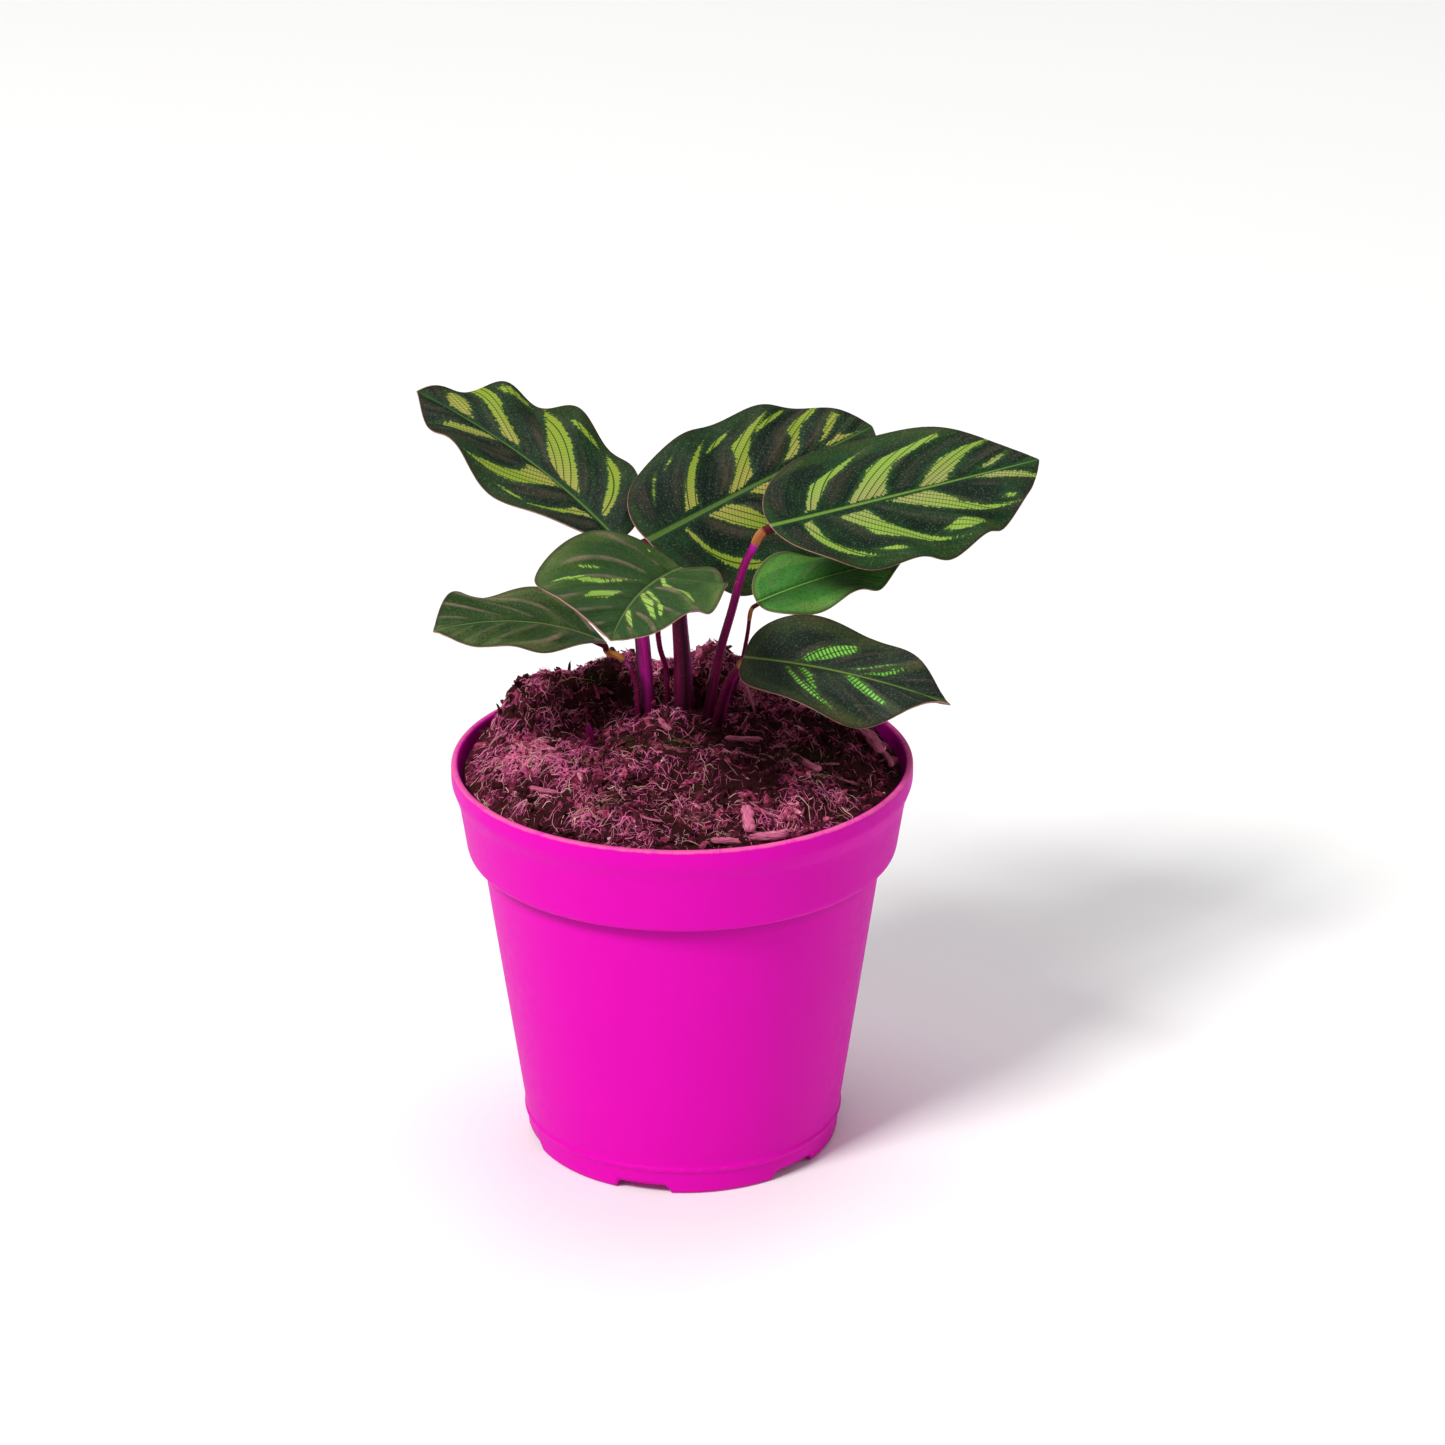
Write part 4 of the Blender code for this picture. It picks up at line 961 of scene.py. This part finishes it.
def make_chips(bark):
    """Split chips: a rounded bar whose width and thickness wander along it, up to its nearly square ends.

    The section is a circle drawn toward a square by the power 0.55, and the bar is bent a little.
    """
    extra = LOOSE_CHIPS
    spots = soil_spots(extra, CHIP_START)
    loose = np.column_stack([
        spots[:, :2], CHANCE.uniform(2.5, 8.0, extra), CHANCE.uniform(0.3, 0.9, extra),
        CHANCE.uniform(0.25, 0.5, extra), CHANCE.uniform(0, 360, extra), CHANCE.uniform(-12, 12, extra),
    ])
    chips = np.vstack([CHIPS, loose])
    count, steps, sides = len(chips), 14, 12
    share = np.linspace(-1, 1, steps)
    turn = np.linspace(0, 2 * np.pi, sides, endpoint=False)
    square = np.stack([np.sign(np.cos(turn)) * np.abs(np.cos(turn)) ** 0.55,
                       np.sign(np.sin(turn)) * np.abs(np.sin(turn)) ** 0.55], -1)
    body = (1 - np.abs(share) ** 12)[None, :] ** 0.6 * CHANCE.uniform(0.84, 1.05, (count, steps))
    body[:, [0, -1]] = 0.0
    x = 0.5 * chips[:, 2, None] * share
    wobble = CHANCE.normal(0, 0.06, (count, steps)) * chips[:, 3, None]
    bend = 0.06 * chips[:, 2, None] * CHANCE.normal(0, 1, (count, 1)) * share**2
    y = bend[..., None] + wobble[..., None] + 0.5 * chips[:, 3, None, None] * body[..., None] * square[:, 0]
    z = 0.5 * chips[:, 4, None, None] * body[..., None] * square[:, 1]
    shape = np.stack([np.repeat(x[..., None], sides, 2), y, z], -1)
    heading, tilt = np.radians(chips[:, 5]), np.radians(chips[:, 6])
    zero, one = 0 * heading, 1 + 0 * heading
    spin = np.stack([np.cos(heading), -np.sin(heading), zero, np.sin(heading), np.cos(heading), zero,
                     zero, zero, one], -1).reshape(-1, 3, 3)
    lean = np.stack([np.cos(tilt), zero, np.sin(tilt), zero, one, zero, -np.sin(tilt), zero, np.cos(tilt)],
                    -1).reshape(-1, 3, 3)
    place = np.column_stack([chips[:, :2], soil_height(chips[:, 0], chips[:, 1]) + 0.40 * chips[:, 4]
                             + 0.4 * chips[:, 2] * np.abs(np.sin(tilt))])
    points = np.einsum("nij,nklj->nkli", spin @ lean, shape) + place[:, None, None]
    faces = many(grid_faces(steps, sides, closed=True), steps * sides, count)
    uv = np.stack([np.repeat(x[..., None], sides, 2) + 20 * np.arange(count)[:, None, None],
                   np.broadcast_to(turn * 1.2, (count, steps, sides))], -1).reshape(-1, 2)
    tint = np.repeat(np.concatenate([np.full(len(CHIPS), 1.0), CHANCE.random(extra) * 0.8]), steps * sides)
    piece = make_piece("bark_chips", points.reshape(-1, 3), faces, [bark], values={"tint": tint}, uv=uv,
                       merge=0.0002)


# The leaves


def leaf_turn(leaf):
    """The rotation of a leaf as a 3 by 3 array: roll about its midrib, then pitch, then heading."""
    turn = (
        Matrix.Rotation(math.radians(leaf["heading"]), 3, "Z")
        @ Matrix.Rotation(math.radians(-leaf["pitch"]), 3, "Y")
        @ Matrix.Rotation(math.radians(leaf["roll"]), 3, "X")
    )
    return np.array(turn)


def leaf_surface(u, v, leaf):
    """Points of the leaf's middle sheet, with along and the millimetres across at each.

    u runs from base to tip and v from the right edge, -1, to the left, 1. The half width grows and shrinks as u
    to the power base_round times 1 - u to the power tip_taper, and swells near the base on either side. The
    midrib is an arc that droops and bends sideways. The sheet rises by its fold, arches over, waves at its
    edges, stands up in crests along its side veins, and sinks along the midrib as a narrow bell.
    """
    length, half = leaf["length"], leaf["width"] / 2
    side = np.abs(v)
    rise, fall = leaf["base_round"], leaf["tip_taper"]
    peak = rise / (rise + fall)
    inner = np.clip(u, 1e-9, 1 - 1e-9)
    share = inner**rise * (1 - inner) ** fall / (peak**rise * (1 - peak) ** fall)
    share = np.where((u <= 0) | (u >= 1), 0.0, share)
    reach = leaf["sweep"] * 4 * u * (1 - u) * (1 - 0.35 * u) - leaf["lobe"] * (1 - u) ** 6
    along = np.clip(u + reach * side**1.4, -0.3, 1.1)
    swell = np.where(v > 0, *leaf["swell"]) * (1 - inner) ** 8
    across = v * half * share * (1 + leaf["uneven"] * np.sign(v) + swell)

    droop, bend = math.radians(leaf["droop"]), math.radians(leaf["bend"])
    midrib = np.stack([
        length * np.sin(droop * along) / droop,
        0.5 * bend * length * along**2,
        -length * (1 - np.cos(droop * along)) / droop,
    ], -1)
    tangent = unit(np.stack([np.cos(droop * along), bend * along, -np.sin(droop * along)], -1))
    normal = np.stack([np.sin(droop * along), 0 * along, np.cos(droop * along)], -1)
    sideways = np.cross(normal, tangent)

    fold = math.radians(leaf["fold"])
    lift = np.abs(across) * math.sin(fold) - leaf["arch"] * half * share * v**2
    left, right = leaf["waves"]
    height, count, start = (np.where(v > 0, a, b) for a, b in zip(left, right))
    calm = np.sqrt(np.sin(np.pi * np.clip(u, 0, 1)))
    lift = lift + height * side**2.2 * np.sin(2 * np.pi * (count * u + start)) * calm
    lift = lift + leaf["folds"][2] * (crest_share(along, across, leaf) - 0.5) * 4 * side * (1 - side) * calm
    lift = lift - CHANNEL_DEPTH * np.exp(-((across / CHANNEL_HALF) ** 2)) * np.clip(1 - along, 0, 1) ** 0.5 * calm
    points = midrib + sideways * (across * math.cos(fold))[..., None] + normal * lift[..., None]
    return points @ leaf_turn(leaf).T + np.array(leaf["base"]), along, across


def vein_place(along, across, leaf):
    """Where the side vein through a point leaves the midrib: veins sweep on toward the tip as they run out."""
    out = np.abs(across) / (leaf["width"] / 2)
    return (along - 0.25 * out**3) / (1 + out)


def crest_share(along, across, leaf):
    """1 on the crest of a side fold, 0 in the valley between two: a raised cosine, to a power that narrows it."""
    first, step, _, narrow = leaf["folds"]
    turns = (vein_place(along, across, leaf) - first) / step
    return (0.5 + 0.5 * np.cos(2 * np.pi * turns)) ** narrow


def vein_fields(along, across, leaf):
    """How deep each point lies in a light mark, and how much it lies in a dark oval and in a browner band.

    A mark is the strip between two side veins whose places change in straight runs from stop to stop, so its
    depth is the lesser of the distances to the two veins and to its ends, in millimetres. An oval fills the gap
    between one mark and the next as far as a rounded end, and a band is a bell across that gap.
    """
    length, half = leaf["length"], leaf["width"] / 2
    out = np.abs(across) / half
    vein = vein_place(along, across, leaf)
    span = (1 + out) / np.hypot(1 / length, (0.75 * out**2 + vein) / half)
    depth = np.full(along.shape, -9.0)
    before, after = (vein - 0.02) * span, (0.92 - vein) * span
    for mark in leaf["marks"]:
        stop, low, high = np.array(mark).T / 100
        same = np.sign(stop[0]) * across > 0
        past_low = (vein - np.interp(out, np.abs(stop), low)) * span
        past_high = (vein - np.interp(out, np.abs(stop), high)) * span
        ends = np.minimum(out - abs(stop[0]), abs(stop[-1]) - out) * half
        depth = np.where(same, np.maximum(depth, np.minimum(np.minimum(past_low, -past_high), ends)), depth)
        if high.max() - low.min() > 0.045:
            before = np.where(same & (past_high > 0), np.minimum(before, past_high), before)
            after = np.where(same & (past_low < 0), np.minimum(after, -past_low), after)
    share = before / np.maximum(before + after, 1e-6)
    end = 0.80 - 0.9 * (share - 0.5) ** 2
    oval = ease(np.minimum(before, after), 0.1, 0.9) * ease(out, end, end - 0.16) * ease(-depth, 0.0, 0.6)
    middle = np.where(across > 0, *leaf["bands"])
    band = np.exp(-(((share - middle) / 0.14) ** 2)) * ease(out, end + 0.05, end - 0.2) * ease(-depth, 0.0, 0.6)
    return depth, oval, band * ease(out, 0.0, 0.15) * ease(vein, 0.13, 0.18)


def edge_distance(points, outline):
    """The distance of each point from the nearest stretch of the outline."""
    nearest = np.full(len(points), 99.0)
    start, run = outline[:-1], np.diff(outline, axis=0)
    size = np.maximum((run**2).sum(-1), 1e-12)
    for part in np.array_split(np.arange(len(points)), 24):
        away = points[part, None] - start[None]
        share = np.clip((away * run).sum(-1) / size, 0, 1)
        nearest[part] = np.linalg.norm(away - share[..., None] * run, axis=-1).min(1)
    return nearest


def make_leaf(name, leaf, top, under):
    """One leaf: the middle sheet on a fine grid, moved half the thickness up and down along its normal.

    The thickness falls to nothing at the edge as a quarter circle, so that the two faces meet there.
    """
    rows, columns = int(60 + 1.3 * leaf["length"]), int(16 + 0.7 * leaf["width"])
    u = 0.5 - 0.5 * np.cos(np.pi * np.linspace(0, 1, rows + 1))
    x = np.linspace(-1, 1, 2 * columns + 1)
    v = np.sign(x) * (1.25 * np.abs(x) - 0.25 * np.abs(x) ** 3)
    u, v = np.meshgrid(u, v, indexing="ij")
    sheet, along, across = leaf_surface(u, v, leaf)
    normal = unit(np.cross(np.gradient(sheet, axis=0), np.gradient(sheet, axis=1)))
    normal[0] = unit(normal[1] + normal[1][::-1])
    normal[-1] = unit(normal[-2].sum(0))
    outline = np.concatenate([sheet[:, 0], sheet[::-1, -1]])
    rim = edge_distance(sheet.reshape(-1, 3), outline)
    rim[np.abs(v.ravel()) > 0.9999] = 0.0
    rim = rim.reshape(u.shape)
    rim[-1] = 0.0
    rim[0] = np.minimum(rim[0], rim[0][::-1])
    half = 0.5 * LEAF_THICKNESS * np.sqrt(1 - (1 - np.clip(rim / LEAF_EDGE, 0, 1)) ** 2)
    points = np.concatenate([(sheet + normal * half[..., None]).reshape(-1, 3),
                             (sheet - normal * half[..., None]).reshape(-1, 3)])
    faces = grid_faces(*u.shape)
    indices = np.repeat([0, 1], len(faces))
    faces = np.concatenate([faces, faces[:, ::-1] + u.size])
    depth, oval, band = vein_fields(along, across, leaf)
    out = np.abs(across) / (leaf["width"] / 2)
    crest = 0.5 + (crest_share(along, across, leaf) - 0.5) * ease(out, 0.03, 0.18) * ease(out, 0.98, 0.75)
    rib = leaf["rib"] * np.clip(1 - along, 0, 1) ** 0.8 + 0.06 - np.abs(across)
    values = {"light": depth, "oval": oval, "band": band, "crest": crest, "rib": rib, "rim": rim, "out": out}
    values = {key: np.tile(value.ravel(), 2) for key, value in values.items()}
    vein = vein_place(along, across, leaf)
    uv = np.stack([vein * leaf["length"], 0.61 * np.abs(across) + 0.79 * along * leaf["length"]], -1).reshape(-1, 2)
    piece = make_piece("leaf" + name[5:], points, faces, [top, under], indices, values, np.tile(uv, (2, 1)),
                       merge=0.0005)
    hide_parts(name)


# The stalks


def curve_through(points, steps):
    """Points along a curve that passes through all of the given points, each stretch by its chord's share."""
    points = np.array(points, float)
    padded = np.vstack([2 * points[0] - points[1], points, 2 * points[-1] - points[-2]])
    chords = np.linalg.norm(np.diff(points, axis=0), axis=1)
    places = np.concatenate([[0], np.cumsum(chords)]) / chords.sum()
    share = np.linspace(0, 1, steps)
    k = np.clip(np.searchsorted(places, share, side="right") - 1, 0, len(points) - 2)
    t = ((share - places[k]) / (places[k + 1] - places[k]))[:, None]
    before, a, b, after = padded[k], padded[k + 1], padded[k + 2], padded[k + 3]
    return 0.5 * (2 * a + (b - before) * t + (2 * before - 5 * a + 4 * b - after) * t**2
                  + (3 * a - before - 3 * b + after) * t**3)


def midrib_under(place, leaf, below):
    """Points under the midrib, below it by the given millimetres along the sheet's own normal there."""
    rib, _, _ = leaf_surface(place, 0 * place, leaf)
    normal = unit(np.cross(np.gradient(rib, axis=0), leaf_turn(leaf)[:, 1]))
    return rib - below[:, None] * normal


def stalk_line(stalk):
    """The stalk's middle line from inside the soil to its blade."""
    x, y = stalk["foot"]
    foot = np.array([x, y, soil_height(np.array(x), np.array(y))])
    first = np.array(stalk["line"][0])
    down = unit(foot - first)
    straight = min(STALK_STRAIGHT, STALK_SHARE * np.linalg.norm(first - foot))
    points = [foot - down * straight, *map(np.array, stalk["line"])]
    if stalk["blade"]:
        leaf = LEAVES[stalk["blade"]]
        turn = leaf_turn(leaf)
        seat = np.array(leaf["base"]) - (0.25 + 1.0 * stalk["radii"][1]) * turn[:, 2]
        points += [seat - turn @ np.array([1.8, 0.0, 1.0]), seat, seat + STALK_SEAT * turn[:, 0]]
    line = curve_through(points, 90)
    return np.vstack([foot + down * STALK_SUNK, foot, line])


def make_stalk(name, stalk, skin):
    """A stalk: rings along its line, whose radius shrinks to the blade and swells a little at the joint.

    The sheath adds a wall with one groove and ends in a slanted collar. Past the blade's base the stalk runs on
    under the midrib as a rib that tapers out.
    """
    line = stalk_line(stalk)
    run = np.concatenate([[0], np.cumsum(np.linalg.norm(np.diff(line, axis=0), axis=1))])
    share = run / run[-1]
    low, high = stalk["radii"]
    radius = low + (high - low) * np.clip((run - 4) / (run[-1] - 4), 0, 1) ** 0.7
    left = run[-1] - run - STALK_SEAT
    if stalk["joint"] > 0:
        radius = radius * (1 + 0.18 * ease(left, stalk["joint"] + 0.3, stalk["joint"] - 0.6))
    under = 0 * share
    if stalk["blade"]:
        leaf = LEAVES[stalk["blade"]]
        place = np.linspace((STALK_SEAT + 1.2) / leaf["length"], 0.93, 60)
        thin = 0.80 * radius[-1] * (1 - place) ** 1.3 + 0.10
        line = np.vstack([line, midrib_under(place, leaf, 0.12 + thin)])
        radius = np.concatenate([radius, thin])
        left = np.concatenate([left, -place * leaf["length"]])
        under = np.concatenate([under, ease(place, 0.03, 0.10)])
        share = np.concatenate([share, 1 + 0 * place])
        run = np.concatenate([run, run[-1] + place * leaf["length"]])
        heading = math.radians(leaf["heading"])
    else:
        radius = radius * ease(share, 1.02, 0.55) ** 0.6
        heading = math.radians(90.0)
    sides = 28
    ref = np.array([-math.sin(heading), math.cos(heading), 0.0])
    tangent = unit(np.gradient(line, axis=0))
    aside = unit(ref - (tangent @ ref)[:, None] * tangent)
    front = np.cross(aside, tangent)
    turn = np.linspace(0, 2 * np.pi, sides, endpoint=False)
    circle = np.cos(turn)[None, :, None] * front[:, None] + np.sin(turn)[None, :, None] * aside[:, None]
    # The groove is set by its direction seen from above: 0 faces the front, and turns go to the right.
    facing = np.arctan2(circle[..., 0], -circle[..., 1])
    away = np.abs(np.angle(np.exp(1j * (facing - stalk["groove"]))))
    top = stalk["sheath"] - 0.10 * np.exp(-((away / 0.9) ** 2))
    wrapped = ease(share[:, None], top + 0.02, top - 0.02) * (stalk["sheath"] > 0)
    groove = np.exp(-((away / 0.22) ** 2)) * wrapped
    ridges = 0.015 * np.cos(9 * turn + 1.3) + 0.02 * np.cos(4 * turn + 0.4)
    body = radius[:, None] * (1 + ridges + 0.10 * wrapped - 0.22 * groove)
    rings = line[:, None] + body[..., None] * circle
    rings = np.concatenate([np.repeat(line[:1, None], sides, 1), rings, np.repeat(line[-1:, None], sides, 1)])
    low_end = ease(share, 0.25, 0.02)[:, None]
    glow = (stalk["glow"][0] + (stalk["glow"][1] - stalk["glow"][0]) * share**3)[:, None]
    side_dark = ease(np.cos(facing - stalk["groove"]), 0.55, 0.95) * wrapped
    fields = {
        "dark": np.clip(0.9 * groove + 0.5 * side_dark + 0.5 * low_end, 0, 1),
        "bright": glow * ease(np.cos(facing - stalk["groove"] - 1.6), -0.5, 0.7) * (1 - 0.6 * low_end),
        "left": left[:, None], "joint": 0 * left[:, None] + stalk["joint"], "under": 0.8 * under[:, None],
        "run": run[:, None], "turn": 1.2 * turn,
    }
    fields = {key: np.broadcast_to(value, body.shape) for key, value in fields.items()}
    fields = {key: np.concatenate([value[:1], value, value[-1:]]).ravel() for key, value in fields.items()}
    uv = np.stack([fields.pop("turn"), fields.pop("run")], -1)
    piece = make_piece("petiole_" + name.replace("stalk_", ""), rings.reshape(-1, 3),
                       grid_faces(len(line) + 2, sides, closed=True), [skin], values=fields, uv=uv, merge=0.001)
    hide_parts(name)
    return line, body.mean(1), circle


def make_hairs(stalks, hair):
    """Fine hairs on the lower stalks: thin three-sided spikes 0.3 to 0.6 mm long, leaning up the stalk."""
    lines, bodies, count = [], [], HAIRS_EACH
    for line, radius, circle in stalks:
        ring = CHANCE.integers(*HAIR_RINGS, count)
        spot = CHANCE.integers(0, circle.shape[1], count)
        outward = circle[ring, spot]
        up = unit(line[ring + 1] - line[ring - 1])
        start = line[ring] + outward * (radius[ring] * 0.95)[:, None]
        long = CHANCE.uniform(0.3, 0.6, count)[:, None]
        lean = unit(outward + 0.6 * up + 0.3 * CHANCE.normal(size=(count, 3)))
        steps = np.linspace(0, 1, 3)[None, :, None]
        lines.append(start[:, None] + long[:, None] * steps * lean[:, None] + 0.12 * steps**2 * up[:, None])
        bodies.append(np.tile(HAIR_RADII, (count, 1)))
    lines, bodies = np.concatenate(lines), np.concatenate(bodies)
    points, faces = tubes(lines, bodies, np.tile([0.31, 0.62, 0.72], (len(lines), 1)), 3)
    piece = make_piece("stalk_hairs", points, faces, [hair], merge=0.0002)


# The studio


def make_floor():
    """A flat floor, 12 m across, just under the pot."""
    turn = np.linspace(0, 2 * np.pi, 96, endpoint=False)
    rings = np.array([0.0, 400.0, 6000.0])[:, None]
    level = -0.02 + 0 * rings * turn
    points = np.stack([rings * np.cos(turn), rings * np.sin(turn), level], -1).reshape(-1, 3)
    mesh = bpy.data.meshes.new("floor")
    mesh.from_pydata(points * MM, [], grid_faces(3, 96, closed=True))
    mesh.materials.append(floor_material())
    obj = new_object("floor", mesh)


def soft_light(name, place, aim, size, watts, tint):
    """A square area light at place, in metres, that faces aim."""
    lamp = bpy.data.lights.new(name, "AREA")
    lamp.shape, lamp.size, lamp.energy, lamp.color = "SQUARE", size, watts, tint
    way = unit(np.array(aim) - np.array(place))
    side = unit(np.cross(way, (0.0, 0.0, 1.0)))
    aim_object(new_object(name, lamp), side, np.cross(side, way), -way, place)


def make_camera():
    """The photograph's camera: its turned axes and its place as one matrix, with no shift and no blur."""
    tilt, yaw = CAMERA_ELEVATION, CAMERA_YAW
    right = np.array([math.cos(yaw), math.sin(yaw), 0.0])
    ahead = np.array([-math.sin(yaw) * math.cos(tilt), math.cos(yaw) * math.cos(tilt), -math.sin(tilt)])
    eye = np.array([0, -CAMERA_DISTANCE * math.cos(tilt), CAMERA_AIM + CAMERA_DISTANCE * math.sin(tilt)]) + POT_AXIS
    data = bpy.data.cameras.new("camera")
    data.sensor_width = SENSOR
    data.lens = CAMERA_FOCAL * SENSOR
    data.clip_start, data.clip_end = 0.05, 30.0
    obj = new_object("camera", data)
    aim_object(obj, right, np.cross(right, ahead), -ahead, eye * MM)
    bpy.context.scene.camera = obj


def make_studio():
    """A white surround and three soft square lights: a key from the left, a weak fill from the right, one above."""
    world = bpy.data.worlds.new("studio")
    world.use_nodes = True
    world.node_tree.nodes["Background"].inputs["Color"].default_value = (1.0, 1.0, 1.0, 1.0)
    world.node_tree.nodes["Background"].inputs["Strength"].default_value = 0.30
    bpy.context.scene.world = world
    soft_light("key", (-2.0, -2.2, 3.3), (0.0, 0.0, 0.09), size=1.1, watts=165.0, tint=(1.0, 0.99, 0.97))
    soft_light("fill", (3.0, -1.8, 2.0), (0.0, 0.0, 0.09), size=2.2, watts=6.0, tint=(0.97, 0.98, 1.0))
    soft_light("top", (0.2, 0.8, 4.0), (0.0, 0.0, 0.1), size=2.0, watts=52.0, tint=(1.0, 1.0, 1.0))
    bpy.context.scene.view_settings.view_transform = "Standard"
    bpy.context.scene.view_settings.look = "None"


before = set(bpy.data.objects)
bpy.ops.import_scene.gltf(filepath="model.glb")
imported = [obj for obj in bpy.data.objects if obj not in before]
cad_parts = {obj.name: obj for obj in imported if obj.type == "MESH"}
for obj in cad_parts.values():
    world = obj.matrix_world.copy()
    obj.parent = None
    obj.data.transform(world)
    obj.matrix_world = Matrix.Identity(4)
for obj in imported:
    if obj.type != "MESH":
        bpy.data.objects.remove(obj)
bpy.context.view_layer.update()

make_pot(pot_material())
peat = peat_material()
make_soil(peat)
make_crumbs("peat_crumbs", peat, count=3400, small=0.30, large=1.6, flat=1.0, tint_range=(-0.22, 0.20))
threads = fibre_material("moss_threads", "#A02A6C", "#FF88BC")
make_fibres("moss_fibres", threads, count=6600, tufts=420, lengths=(0.9, 4.2), radii=(0.06, 0.16), rise=0.28,
            steps=4, sides=3)
pale_threads = fibre_material("coir_threads", "#BC5478", "#FFD6C4")
make_fibres("coir_fibres", pale_threads, count=1200, tufts=220, lengths=(1.6, 7.5), radii=(0.05, 0.12), rise=0.26,
            steps=6, sides=3)
make_chips(bark_material())
make_crumbs("perlite_grains", perlite_material(), count=60, small=0.16, large=0.60, flat=0.9,
            tint_range=(0.0, 1.0))

tops = {tone: leaf_material(tone) for tone in TONES}
unders = {young: leaf_under_material(young) for young in (False, True)}
for name, leaf in LEAVES.items():
    make_leaf(name, leaf, tops[leaf["tone"]], unders[leaf["tone"] == "young"])

skin = stalk_material()
grown = [make_stalk(name, stalk, skin) for name, stalk in STALKS.items()]
make_hairs([parts for parts, name in zip(grown, STALKS) if name != "shoot"], hair_material())

make_floor()
make_studio()
make_camera()
